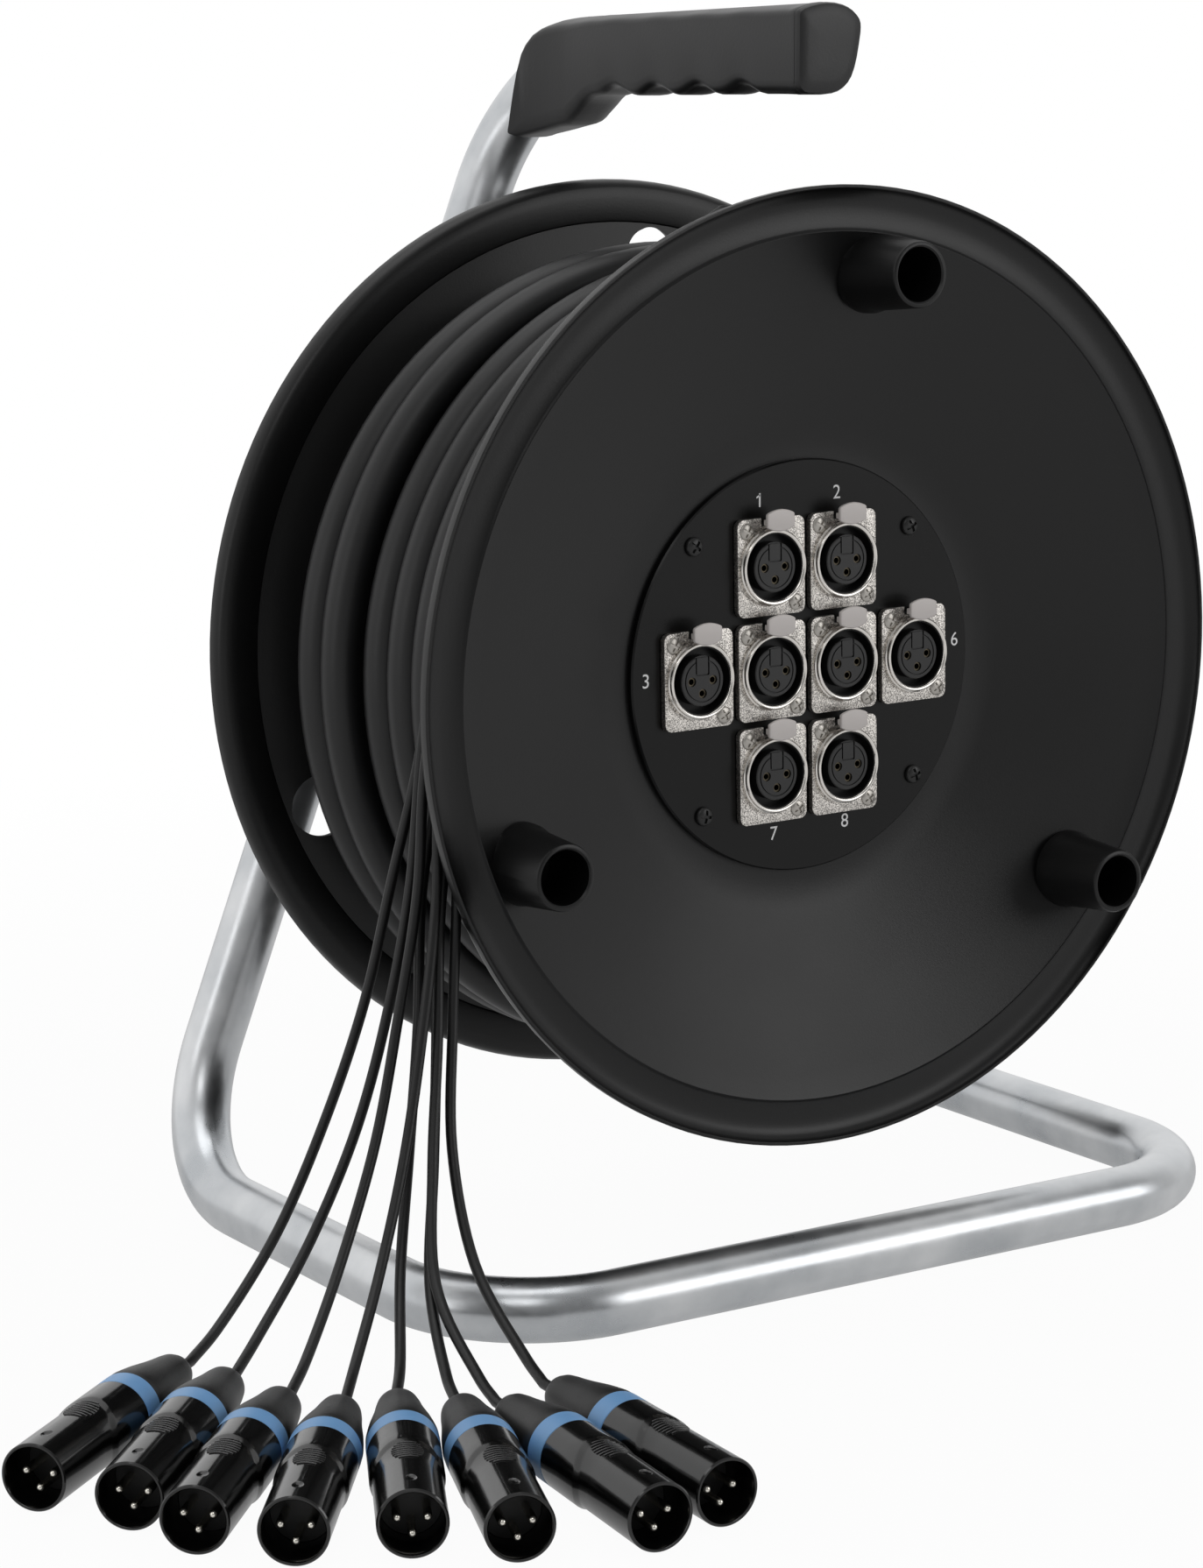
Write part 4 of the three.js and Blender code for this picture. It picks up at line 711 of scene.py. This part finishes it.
grip_black = Finish("grip moulding", Specular_IOR_Level=0.4)
grip_cloud = grip_black.noise(0.03, detail=5)
grip_black.blend(grip_cloud, (0.008, 0.008, 0.0084), (0.015, 0.015, 0.0158))
grip_black.roughen(0.36 + grip_cloud * 0.12)
grip_black.bump(grip_black.noise(0.0009), 0.00003)
GRIP_HALF = 13
section = [
    (12.5, 4.6), (12.6, 6.2), (12.5, 7.4), (12, 8.6), (11, 9.7), (9.6, 10.8), (7.8, 11.7), (5.6, 12.4),
    (2.6, 12.9), (-0.6, GRIP_HALF), (-3.6, 12.7), (-6.6, 12.1), (-9.2, 11.4), (-10.4, 10.9), (-11.2, 10.2),
    (-11.5, 9.2), (-11.5, -8.8), (-11.3, -10.4), (-10.6, -11.8), (-9.4, -12.7), (-7.9, -GRIP_HALF),
    (-4, -GRIP_HALF), (-0.6, -GRIP_HALF), (1.8, -12.8), (4.2, -12.2), (6, -11.3), (7.6, -10), (9, -8.2),
    (10.2, -5.6), (11.1, -2.6), (11.9, 1.2),
]
section = [(x, 0, z) for x, z in section]
FINGER_PLACES, FINGER_HALF, FINGER_DEPTH = (-42, -18, 6, 30), 11.5, 3
SKIRT_LEAN = 1.1
GRIP_FRONT_Y, GRIP_WAVE_Y, GRIP_SKIRT_Y = -74.2, -58.5, 42


def finger_depth(y):
    """How deep the finger grooves are at this place along the grip."""
    near = min(abs(y - place) for place in FINGER_PLACES)
    return FINGER_DEPTH * (0.5 + 0.5 * math.cos(math.pi * min(near / FINGER_HALF, 1)))


def leg_lean(y):
    """How far the tube has leaned to the left where it bends down into the leg."""
    along = max(y + BEND_RADIUS - LEGS_Y, 0)
    return -SKIRT_LEAN * long_way.x * (BEND_RADIUS - math.sqrt(BEND_RADIUS**2 - along**2))


# Stations along the grip: place, then how far it reaches above and below the tube's middle.
WAVE_STEPS, WAVE_ABOVE, WAVE_FALL, WAVE_BELOW = 54, 13.7, 0.9, 13.8
stations = [
    (-71.5, 13.4, 13.5), (-71.2, 13.8, 13.9), (-70.4, 14, 14.1), (-69, 14, 14.1), (-68, 13.8, 14),
    (-64, 13.75, 13.9), (GRIP_WAVE_Y, WAVE_ABOVE, WAVE_BELOW),
]
for i in range(1, WAVE_STEPS):
    y = GRIP_WAVE_Y + (GRIP_SKIRT_Y - GRIP_WAVE_Y) * i / WAVE_STEPS
    stations.append((y, WAVE_ABOVE - WAVE_FALL * i / WAVE_STEPS, WAVE_BELOW - finger_depth(y)))
stations += [
    (44, 12.8, 14), (47, 12.8, 15.2), (50, 12.7, 16.8), (53, 12.7, 19), (57, 12.6, 21.6), (59, 12.6, 23.1),
    (64, 12.4, 23.9), (69, 11.9, 24.8), (73, 11, 25.5), (76, 9.5, 26), (78.5, 7, 26.4), (80.5, 3.5, 26.8),
    (82.2, -2, 27.2), (83.6, -9, 27.4), (84.8, -16.5, 27.2), (85.7, -23, 26.6), (86, -24.6, 26),
]
grip = drawn("grip_cover", section)
bpy.ops.transform.translate(value=Vector((HANDLE.x, stations[0][0], HANDLE.z)) * MM)
y, above, below = stations[0][0], GRIP_HALF, GRIP_HALF
for next_y, next_above, next_below in stations:
    pull((0, (next_y - y) * MM, 0))
    middle = Vector((HANDLE.x, next_y, HANDLE.z + (above - below) / 2)) * MM
    stretch = (next_above + next_below) / (above + below)
    bpy.ops.transform.resize(value=(1, 1, stretch), center_override=middle)
    rise = (next_above - next_below - above + below) / 2
    bpy.ops.transform.translate(value=((leg_lean(next_y) - leg_lean(y)) * MM, 0, rise * MM))
    y, above, below = next_y, next_above, next_below
close_mesh()
finish_mesh(grip, smooth=38)
grip_black.wear(grip)
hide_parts("grip")
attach(grip, "frame")


# Grip's end cap: a domed plug with the grip's outline, pressed into the tube's open end by
# its spigot.
CAP_STRETCH, CAP_THICKNESS, SPIGOT_SETBACK = 1.07, 2.5, 1.2
CAP_DOME = ((1.2, 1), (0.9, 0.97), (0.5, 0.9), (0.25, 0.78), (0.1, 0.5))  # step ahead, share of the outline
SPIGOT_OUTLINE = [(0, 0), (7.7, 0), (7.7, 11), (7, 12), (0, 12)]
cap = drawn("grip_cap", [(x, y, z * CAP_STRETCH) for x, y, z in section])
bpy.ops.transform.translate(value=Vector((HANDLE.x, GRIP_FRONT_Y + CAP_THICKNESS, HANDLE.z)) * MM)
for ahead, share in CAP_DOME:
    pull((0, -ahead * MM, 0))
    bpy.ops.transform.resize(value=(share, 1, share), center_override=HANDLE * MM)
close_mesh()
spigot = turned("spigot", SPIGOT_OUTLINE, 48)
settle(spigot, at(HANDLE.x, GRIP_FRONT_Y + SPIGOT_SETBACK, HANDLE.z))
cap = finish_mesh(merge_pieces(cap, spigot), smooth=40)
grip_black.wear(cap)
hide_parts("grip_end_cap")
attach(cap, "frame")


# Flanges: two dished discs of satin black plastic, mirror images. A flat centre carries
# the panel or the hub, a cone rises to a sharp crease, and a hollow band ends in the lip.
FLAT_R, FLAT_Y, CREASE_R, CONE_DEPTH = 73, 46.3, 138.4, 19.7
LUG_CIRCLE, LUG_TURNS = 126, [math.radians(a) for a in (83.2, 203.2, 323.2)]
LUG_LENGTH, LUG_ROOT_R, LUG_END_R, LUG_BORE_R, LUG_BORE_DEPTH = 25, 12, 10.2, 8.5, 22
black_plastic = Finish("satin black plastic", Specular_IOR_Level=0.34)
swirl = black_plastic.noise(0.05, detail=5)
black_plastic.blend(swirl, (0.0025, 0.0025, 0.0026), (0.0045, 0.0045, 0.0047))
black_plastic.roughen(0.32 + swirl * 0.1)
black_plastic.bump(black_plastic.noise(0.0007), 0.000025)


def flange_outline(hole):
    """Radius and place, from the hole outwards and back along the inside."""
    outside = [
        (hole, -FLAT_Y), (67, -FLAT_Y), (69, -46.35), (71, -46.5), (73, -46.75), (75, -47.1), (77, -47.5),
        (79.6, -48.2), (110, -57.45), (130, -63.5), (137.6, -65.75), (138.1, -65.95), (CREASE_R, -65.85),
        (138.7, -65.5), (139.4, -65.2), (141.5, -64.8), (145, -64.5), (147.6, -64.8), (149.4, -65.5),
        (150.6, -66.5), (151.2, -67.5), (151.4, -68.3), (151.7, -68.5), (152.3, -68.5), (152.5, -68.2),
    ]
    inside = [
        (152.5, -66), (152, -64), (151, -62.6), (149.6, -61.9), (146, -61.5), (140, -61.6), (138.7, -61.8),
        (138.2, -62.3), (118, -56.6), (96, -50), (FLAT_R + 1, -43.3), (FLAT_R, -43.1), (hole, -43.1),
    ]
    return [*outside, *inside, outside[0]]


def cone_face(radius):
    return FLAT_Y + (radius - FLAT_R) * CONE_DEPTH / (CREASE_R - FLAT_R)


PANEL_HOLE_R, HUB_HOLE_R = 55.8, 10.6
front_flange = turned("flange_front", flange_outline(PANEL_HOLE_R), 144)
lug_foot = -cone_face(LUG_CIRCLE)
lug_mouth = lug_foot - LUG_LENGTH
LUG_OUTLINE = [
    (0, lug_foot + 1.6), (LUG_ROOT_R + 1, lug_foot + 1.6), (LUG_ROOT_R + 0.9, lug_foot - 1.2),
    (LUG_ROOT_R, lug_foot - 3.4), (LUG_END_R + 0.2, lug_mouth + 1), (LUG_END_R - 0.1, lug_mouth + 0.3),
    (LUG_END_R - 0.7, lug_mouth), (0, lug_mouth),
]
LUG_BORE_OUTLINE = [
    (0, lug_mouth - 1), (LUG_BORE_R + 1.1, lug_mouth - 1), (LUG_BORE_R + 0.5, lug_mouth),
    (LUG_BORE_R, lug_mouth + 0.5), (LUG_BORE_R - 0.3, lug_mouth + LUG_BORE_DEPTH),
    (0, lug_mouth + LUG_BORE_DEPTH),
]
for outline, steps, operation in ((LUG_OUTLINE, 64, "UNION"), (LUG_BORE_OUTLINE, 48, "DIFFERENCE")):
    for turn in LUG_TURNS:
        tool = settle(turned("lug_tool", outline, steps), at(*round_axis(LUG_CIRCLE, turn, 0)))
        carve(front_flange, tool, operation)
rear_flange = turned("flange_rear", [(r, -y) for r, y in flange_outline(HUB_HOLE_R)], 144)
HUB_OUTLINE = [
    (HUB_HOLE_R, 31.1), (15.6, 31.1), (16, 31.5), (16, 45), (16, 50), (16, 71.5), (15.2, 72.3), (11, 72.3),
    (HUB_HOLE_R, 71.9), (HUB_HOLE_R, 31.1),
]
carve(rear_flange, turned("hub", HUB_OUTLINE, 72), "UNION")
REAR_HOLE_OUTLINE = [(0, 40), (10.8, 40), (10.8, 61.7), (11.4, 62.3), (12.4, 70), (0, 70)]
for turn in LUG_TURNS:
    carve(rear_flange, settle(turned("hole", REAR_HOLE_OUTLINE, 64), at(*round_axis(LUG_CIRCLE, turn, 0))))
for piece, node in ((front_flange, "front_flange"), (rear_flange, "rear_flange")):
    settle(piece, at(*DRUM_CENTRE))
    finish_mesh(piece, smooth=32)
    black_plastic.wear(piece)
    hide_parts(node)
    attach(piece, "drum")


# Barrel: a plain black tube between the flanges' flats, under all the cable. Nothing of
# it shows, so it keeps the drawing's own form.
black_plastic.wear(bpy.data.objects["drum_barrel"])


# Inner layers: the turns under the last ones. Only their tops, in the gaps between the
# outer turns, and the last turn beside the rear flange can be seen.
CORE_LOW, CORE_HIGH, CORE_FOOT, CORE_STEP_Y, CORE_REAR_Y = 115.6, 122.6, 108.6, 11.4, 39.4
BARREL_R, BARREL_END, CORE_FRONT_Y = 73.3, 42.4, -55.2
FOOT_TURN_R, FOOT_TURN_Y, FOOT_TURN_SINK = 6.6, 46.2, 4
core = [
    (BARREL_R, -BARREL_END), (CORE_LOW, CORE_FRONT_Y), (CORE_LOW, CORE_STEP_Y), (CORE_HIGH, CORE_STEP_Y),
    (CORE_HIGH, CORE_REAR_Y), (CORE_FOOT, CORE_REAR_Y),
]
for degrees in range(30, 151, 15):  # the last turn, beside the rear flange
    lift = round_axis(FOOT_TURN_R, math.radians(degrees), 0)
    core.append((CORE_FOOT - FOOT_TURN_SINK + lift.z, FOOT_TURN_Y - lift.x))
core += [(CORE_FOOT - 1, 53), (BARREL_R, BARREL_END), (BARREL_R, -BARREL_END)]
layers = finish_mesh(turned("inner_turns", core, 120), smooth=50)
cable_jacket.wear(layers)
settle(layers, at(*DRUM_CENTRE))
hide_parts("cable_inner_layers")
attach(layers, "drum")


# Outer turns: one unbroken length of multicore, wound from front to rear. Each turn goes
# straight round the far side and crosses to its next place; the last two lie higher, and
# sink in at the top.
WIND_R, LAYER_RISE, WIND_PITCH, WIND_FIRST, WIND_SWAY = 124, 7, 14.8, -40.1, 5
WIND_START, WIND_END, WIND_STEP, CLIMB_START, CLIMB_END = 80, 2180, 3, 1400, 1500
SINK_ANGLE, SINK_HALF, SINK_SHARE = 72, 80, 0.85


def wound(degrees):
    """The cable's middle after so many degrees of winding."""
    climb = min(max((degrees - CLIMB_START) / (CLIMB_END - CLIMB_START), 0), 1)
    from_top = min(abs(degrees % 360 - SINK_ANGLE) / SINK_HALF, 1)
    sink = SINK_SHARE / 2 * (1 + math.cos(math.pi * from_top))
    lift = LAYER_RISE * climb**2 * (3 - 2 * climb) * (1 - sink)
    turn = math.radians(degrees)
    y = WIND_FIRST + WIND_PITCH * (degrees - 180) / 360 + WIND_SWAY * (math.cos(turn - math.pi) - 1)
    return DRUM_CENTRE + round_axis(WIND_R + lift, turn, y)


wind_line = [wound(a) for a in range(WIND_START - WIND_STEP, WIND_END + 2 * WIND_STEP, WIND_STEP)]
winding = to_mesh(round_tube("outer_turns", wind_line, CABLE_DIAMETER, sides=8))
finish_mesh(winding, smooth=50)
cable_jacket.wear(winding)
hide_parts("multicore_winding")
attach(winding, "drum")


# Panel: a round black lacquered plate on the front flange, with plain white numbers.
PANEL_R, PANEL_FACE, PANEL_THICKNESS, PANEL_EDGE = 66.4, -48.6, 2, 0.5
panel_black = Finish("panel lacquer", Base_Color=(0.002, 0.002, 0.002), Specular_IOR_Level=0.24)
panel_haze = panel_black.noise(0.02)
panel_black.roughen(0.24 + panel_haze * 0.1)
panel_black.bump(panel_black.noise(0.0009), 0.00001)
white_print = Finish("white print", Base_Color=(0.82, 0.82, 0.82))
white_print.roughen(0.5 + white_print.noise(0.001) * 0.15)
PANEL_OUTLINE = [
    (0, PANEL_FACE), (PANEL_R - PANEL_EDGE, PANEL_FACE), (PANEL_R, PANEL_FACE + PANEL_EDGE),
    (PANEL_R, PANEL_FACE + PANEL_THICKNESS), (0, PANEL_FACE + PANEL_THICKNESS),
]
panel = panel_black.wear(finish_mesh(turned("panel_plate", PANEL_OUTLINE, 128), smooth=35))
NUMBERS = {
    "1": (-17.8, 53.9), "2": (12.5, 54.9), "3": (-61.1, -0.2), "6": (61.3, 3.7), "7": (-11.6, -53.6),
    "8": (16.9, -52.3),
}
NUMBER_SIZE, PRINT_RISE = 6.4, 0.02
ONE_FLAG = [(0.15, 0, 2.1), (-0.1, 0, 2.1), (-1.25, 0, 1.3), (-1.25, 0, 0.8), (0.15, 0, 1.45)]
for number, (x, z) in NUMBERS.items():
    bpy.ops.object.text_add()
    text = bpy.context.object.data
    text.body, text.size = number, NUMBER_SIZE * MM
    text.align_x, text.align_y = "CENTER", "CENTER"
    digit = to_mesh(bpy.context.object)
    if number == "1":
        flag = drawn("flag", ONE_FLAG)
        bpy.ops.object.mode_set(mode="OBJECT")
        digit = merge_pieces(digit, settle(flag, Matrix.Rotation(-math.pi / 2, 4, "X")))
    settle(digit, at(x, PANEL_FACE - PRINT_RISE, z) @ Matrix.Rotation(math.pi / 2, 4, "X"))
    panel = merge_pieces(panel, white_print.wear(digit))
settle(panel, at(*DRUM_CENTRE))
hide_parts("connector_panel")
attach(panel, "drum")


# Panel screws: four small black pan heads with a cross recess.
CROSS_REACH_SHARE, CROSS_WIDTH_SHARE, CROSS_DEPTH_SHARE, RIM_SHARE = 1.35, 0.32, 1.1, 0.3


def cross_screw(name, head_r, head_height, shank_r, shank_length):
    """A screw along +Y: its head in front of y = 0 and its shank behind."""
    dome = []
    for degrees in range(0, 91, 15):
        t = math.radians(degrees)
        rise = head_height * (RIM_SHARE + (1 - RIM_SHARE) * math.cos(t))
        dome.append((head_r * math.sin(t), -rise))
    shank = [(head_r, 0), (shank_r, 0), (shank_r, shank_length - 1), (0, shank_length)]
    screw = turned(name, [*dome, *shank], 32)
    size = (head_r * CROSS_REACH_SHARE, head_height * CROSS_DEPTH_SHARE, head_r * CROSS_WIDTH_SHARE, 1)
    for turn in (0, math.pi / 2):
        bpy.ops.mesh.primitive_cube_add(size=MM)
        blade_place = Matrix.Rotation(turn, 4, "Y") @ at(0, -head_height, 0)
        carve(screw, settle(bpy.context.object, blade_place @ Matrix.Diagonal(size)))
    return finish_mesh(screw, smooth=40)


black_steel = Finish("blackened steel", Base_Color=(0.03, 0.03, 0.03), Metallic=0.6)
black_steel.roughen(0.28 + black_steel.noise(0.0006) * 0.2)
PANEL_SCREW_CIRCLE, PANEL_SCREW_SINK, PANEL_SCREW_DEGREES = 59.6, 0.15, (45.5, 136.5, 229, 318.5)
SCREW_TWIST = 1.1  # each screw stops at an angle of its own
screw = black_steel.wear(cross_screw("screw", head_r=3.1, head_height=1.8, shank_r=1.5, shank_length=5.7))
for number, degrees in enumerate(PANEL_SCREW_DEGREES, 1):
    seat = round_axis(PANEL_SCREW_CIRCLE, math.radians(degrees), PANEL_FACE - PANEL_SCREW_SINK)
    driven = at(*(DRUM_CENTRE + seat)) @ Matrix.Rotation(number * SCREW_TWIST, 4, "Y")
    twin = copy_to(screw, f"panel_fixing_{number}", driven)
    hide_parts(f"panel_screw_{number}")
    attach(twin, "drum")
bpy.data.objects.remove(screw)


# Sockets: a cast nickel plate with a sandy face, a polished stepped ring round the mouth,
# two cross-head screws, and a dark insert with three sleeved contact holes.
PLATE_W, PLATE_H, PLATE_CORNER, PLATE_FRONT, PLATE_REAR = 26, 31, 2.5, -2.5, -0.3
RING_FRONT, MOUTH_R, INSERT_R, MOUTH_FLOOR = -4.9, 10.7, 8, 7.1
sandy = Finish("sandy nickel", Metallic=1.0)
sand = sandy.noise(0.0004, detail=2)
sandy.blend(sandy.ramp(sand, 0.38, 0.62), (0.20, 0.19, 0.18), (0.88, 0.84, 0.79))
sandy.roughen(0.32 + sand * 0.2)
sandy.bump(sand, 0.00012)
polished = Finish("polished nickel", Base_Color=(0.74, 0.71, 0.67), Metallic=1.0)
polished.roughen(0.14 + polished.noise(0.003) * 0.1)
insert_black = Finish("socket insert", Base_Color=(0.008, 0.008, 0.0083))
insert_black.roughen(0.34 + insert_black.noise(0.0008) * 0.16)
# Painted shade: the contact sleeves' brass is darkened far below bright plated brass, for the shade deep
# inside the contact holes.
shade_darkened_brass = Finish("contact brass", Base_Color=(0.10, 0.085, 0.06), Metallic=1.0)
shade_darkened_brass.roughen(0.3 + shade_darkened_brass.noise(0.0005) * 0.15)


def corner_arc(middle, radius, first, last, steps):
    """Points of an arc in the XZ plane; angles in degrees from +X towards +Z."""
    turns = (math.radians(first + (last - first) * i / steps) for i in range(steps + 1))
    return [(middle[0] + radius * math.cos(t), 0, middle[1] + radius * math.sin(t)) for t in turns]


def rounded_outline(half_width, half_height, corner, steps=6, middle=(0, 0)):
    x, z = middle
    right, left = x + half_width - corner, x - half_width + corner
    top, low = z + half_height - corner, z - half_height + corner
    return [
        *corner_arc((right, top), corner, 0, 90, steps), *corner_arc((left, top), corner, 90, 180, steps),
        *corner_arc((left, low), corner, 180, 270, steps), *corner_arc((right, low), corner, 270, 360, steps),
    ]


def slab(name, outline, front, rear):
    """A flat plate of the outline, between two places along Y."""
    piece = drawn(name, outline)
    bpy.ops.transform.translate(value=(0, rear * MM, 0))
    pull((0, (front - rear) * MM, 0))
    close_mesh()
    return piece


plate = slab("plate", rounded_outline(PLATE_W / 2, PLATE_H / 2, PLATE_CORNER), PLATE_FRONT, PLATE_REAR)
PLATE_HOLE_R, PLATE_EDGE = MOUTH_R + 0.4, 0.22
carve(plate, turned("mouth_cut", [(0, -9), (PLATE_HOLE_R, -9), (PLATE_HOLE_R, 3), (0, 3)], 64))
pocket = rounded_outline(6.6, 3.2, 1.2, middle=(0, 14.2))
carve(plate, slab("recess", pocket, PLATE_FRONT - 1, PLATE_FRONT + 1.2))
NOTCH_HALF_W, NOTCH_HALF_H, NOTCH_CORNER = 2.9, 2.4, 0.3
plate_notch = rounded_outline(NOTCH_HALF_W, NOTCH_HALF_H, NOTCH_CORNER, middle=(0, 15.3))
carve(plate, slab("notch", plate_notch, PLATE_FRONT - 2, 2))
sandy.wear(finish_mesh(plate, bevel=PLATE_EDGE, angle=50, smooth=35))
RING_OUTLINE = [
    (MOUTH_R, MOUTH_FLOOR), (MOUTH_R, -4.2), (MOUTH_R + 0.35, -4.75), (MOUTH_R + 0.7, RING_FRONT),
    (11.75, RING_FRONT), (12, -4.7), (12.1, -3.9), (12.5, -3.6), (12.5, -2), (11.5, -1.9), (11.5, 19.5),
    (11, 20), (INSERT_R, 20), (INSERT_R, MOUTH_FLOOR), (MOUTH_R, MOUTH_FLOOR),
]
ring = turned("ring", RING_OUTLINE, 96)
ring_notch = rounded_outline(NOTCH_HALF_W, NOTCH_HALF_H, NOTCH_CORNER, middle=(0, 15.05))
carve(ring, slab("notch", ring_notch, -9, 2))
polished.wear(finish_mesh(ring, smooth=35))
# Painted shade: a thin dark skin over the polished mouth's wall and floor stands in for the dark reflection
# on the wall and the shade deep in the gap round the insert.
SHADE_SKIN_T = 0.1  # thickness of that painted-shade skin
SHADE_SKIN_OUTLINE = [
    (MOUTH_R + SHADE_SKIN_T, -4.1), (MOUTH_R + SHADE_SKIN_T, MOUTH_FLOOR + SHADE_SKIN_T), (INSERT_R, MOUTH_FLOOR + SHADE_SKIN_T),
    (INSERT_R, MOUTH_FLOOR - 2 * SHADE_SKIN_T), (MOUTH_R - SHADE_SKIN_T, MOUTH_FLOOR - 2 * SHADE_SKIN_T),
    (MOUTH_R - SHADE_SKIN_T, -4.1), (MOUTH_R + SHADE_SKIN_T, -4.1),
]
liner = black_cup_and_painted_shade.wear(finish_mesh(turned("liner", SHADE_SKIN_OUTLINE, 64), smooth=35))
INSERT_OUTLINE = [
    (0, -4.45), (6.3, -4.45), (6.4, -4.1), (6.7, -4.1), (6.8, -4.45), (7.7, -4.45), (INSERT_R, -4.2),
    (INSERT_R, 12), (0, 12),
]
socket_insert = turned("socket_insert", INSERT_OUTLINE, 64)
carve(socket_insert, slab("key", rounded_outline(2.6, 3.9, 0.4, middle=(0, 5.6)), -6, -3.9))
key_face = rounded_outline(2.1, 2.6, 0.2, middle=(0, 4.8))
carve(socket_insert, slab("key_face", key_face, -4.4, -3.8), "UNION")
CONTACT_PLACES, CONTACT_R, CONTACT_DEPTH = ((-4, 0), (4, 0), (0, -4)), 1.5, 3
SLEEVE_OUTLINE = [(0.95, -3.9), (1.45, -3.9), (1.45, 2.9), (0.95, 2.9), (0.95, -3.9)]
for x, z in CONTACT_PLACES:
    drill = turned("drill", [(0, -7), (CONTACT_R, -7), (CONTACT_R, CONTACT_DEPTH), (0, CONTACT_DEPTH)], 24)
    carve(socket_insert, settle(drill, at(x, 0, z)))
insert_black.wear(finish_mesh(socket_insert, smooth=35))
sleeves = []
for x, z in CONTACT_PLACES:
    sleeve = finish_mesh(turned("sleeve", SLEEVE_OUTLINE, 24), smooth=40)
    sleeves.append(settle(shade_darkened_brass.wear(sleeve), at(x, 0, z)))
bright_steel = Finish("socket screw steel", Base_Color=(0.42, 0.40, 0.37), Metallic=1.0)
bright_steel.roughen(0.26 + bright_steel.noise(0.0005) * 0.2)
SOCKET_SCREWS, SOCKET_SCREW_SINK = ((-9.4, 11.7), (9.4, -12)), 0.25
fixings = []
for x, z in SOCKET_SCREWS:
    fixing = cross_screw("fixing", head_r=2.7, head_height=1.1, shank_r=1.4, shank_length=5)
    driven = at(x, PLATE_FRONT + SOCKET_SCREW_SINK, z) @ Matrix.Rotation(x / 9, 4, "Y")
    fixings.append(settle(bright_steel.wear(fixing), driven))
socket = merge_pieces(plate, ring, liner, socket_insert, *sleeves, *fixings)
SOCKET_GRID = ((-0.5, 1), (0.5, 1), (-1.5, 0), (-0.5, 0), (0.5, 0), (1.5, 0), (-0.5, -1), (0.5, -1))
PITCH_X, PITCH_Z, PANEL_ROLL = 28.4, 33.4, math.radians(-1.1)
on_panel = at(*DRUM_CENTRE) @ at(0, PANEL_FACE, 0) @ Matrix.Rotation(PANEL_ROLL, 4, "Y")
socket_places = [on_panel @ at(column * PITCH_X, 0, row * PITCH_Z) for column, row in SOCKET_GRID]
for number, place in enumerate(socket_places, 1):
    twin = copy_to(socket, f"panel_socket_{number}", place)
    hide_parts(f"socket_{number}")
    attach(twin, "drum")
bpy.data.objects.remove(socket)


# Push tabs: a pale plastic pad that frees the plug, flat at its sides and rounded above
# and below, on a stem that slides in the socket's notch.
TAB_HALF_W, TAB_HALF_H, TAB_FRONT, TAB_REAR, TAB_RISE = 5.3, 3.5, -8.1, -6.7, 15.2
TAB_ARC_R, TAB_EDGE = 10.7, 0.45
STEM_HALF_W, STEM_HALF_H, STEM_CORNER, STEM_RISE, STEM_FRONT, STEM_REAR = 2.5, 0.9, 0.2, 14.1, -7.4, -2.1
tab_plastic = Finish("pale tab plastic", Base_Color=(0.62, 0.58, 0.56))
tab_plastic.roughen(0.34 + tab_plastic.noise(0.002) * 0.15)
tilt = math.degrees(math.asin(TAB_HALF_W / TAB_ARC_R))
pad_outline = [
    *corner_arc((0, TAB_RISE + TAB_HALF_H - TAB_ARC_R), TAB_ARC_R, 90 - tilt, 90 + tilt, 12),
    *corner_arc((0, TAB_RISE + TAB_ARC_R - TAB_HALF_H), TAB_ARC_R, 270 - tilt, 270 + tilt, 12),
]
pad = slab("pad", pad_outline, TAB_FRONT, TAB_REAR)
finish_mesh(pad, bevel=TAB_EDGE, segments=3, angle=60, smooth=50)
stem_outline = rounded_outline(STEM_HALF_W, STEM_HALF_H, STEM_CORNER, middle=(0, STEM_RISE))
stem = slab("stem", stem_outline, STEM_FRONT, STEM_REAR)
tab = merge_pieces(pad, finish_mesh(stem, smooth=40))
tab_plastic.wear(tab)
for number, place in enumerate(socket_places, 1):
    twin = copy_to(tab, f"push_pad_{number}", place)
    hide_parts(f"push_tab_{number}")
    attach(twin, f"tab_{number}")
bpy.data.objects.remove(tab)
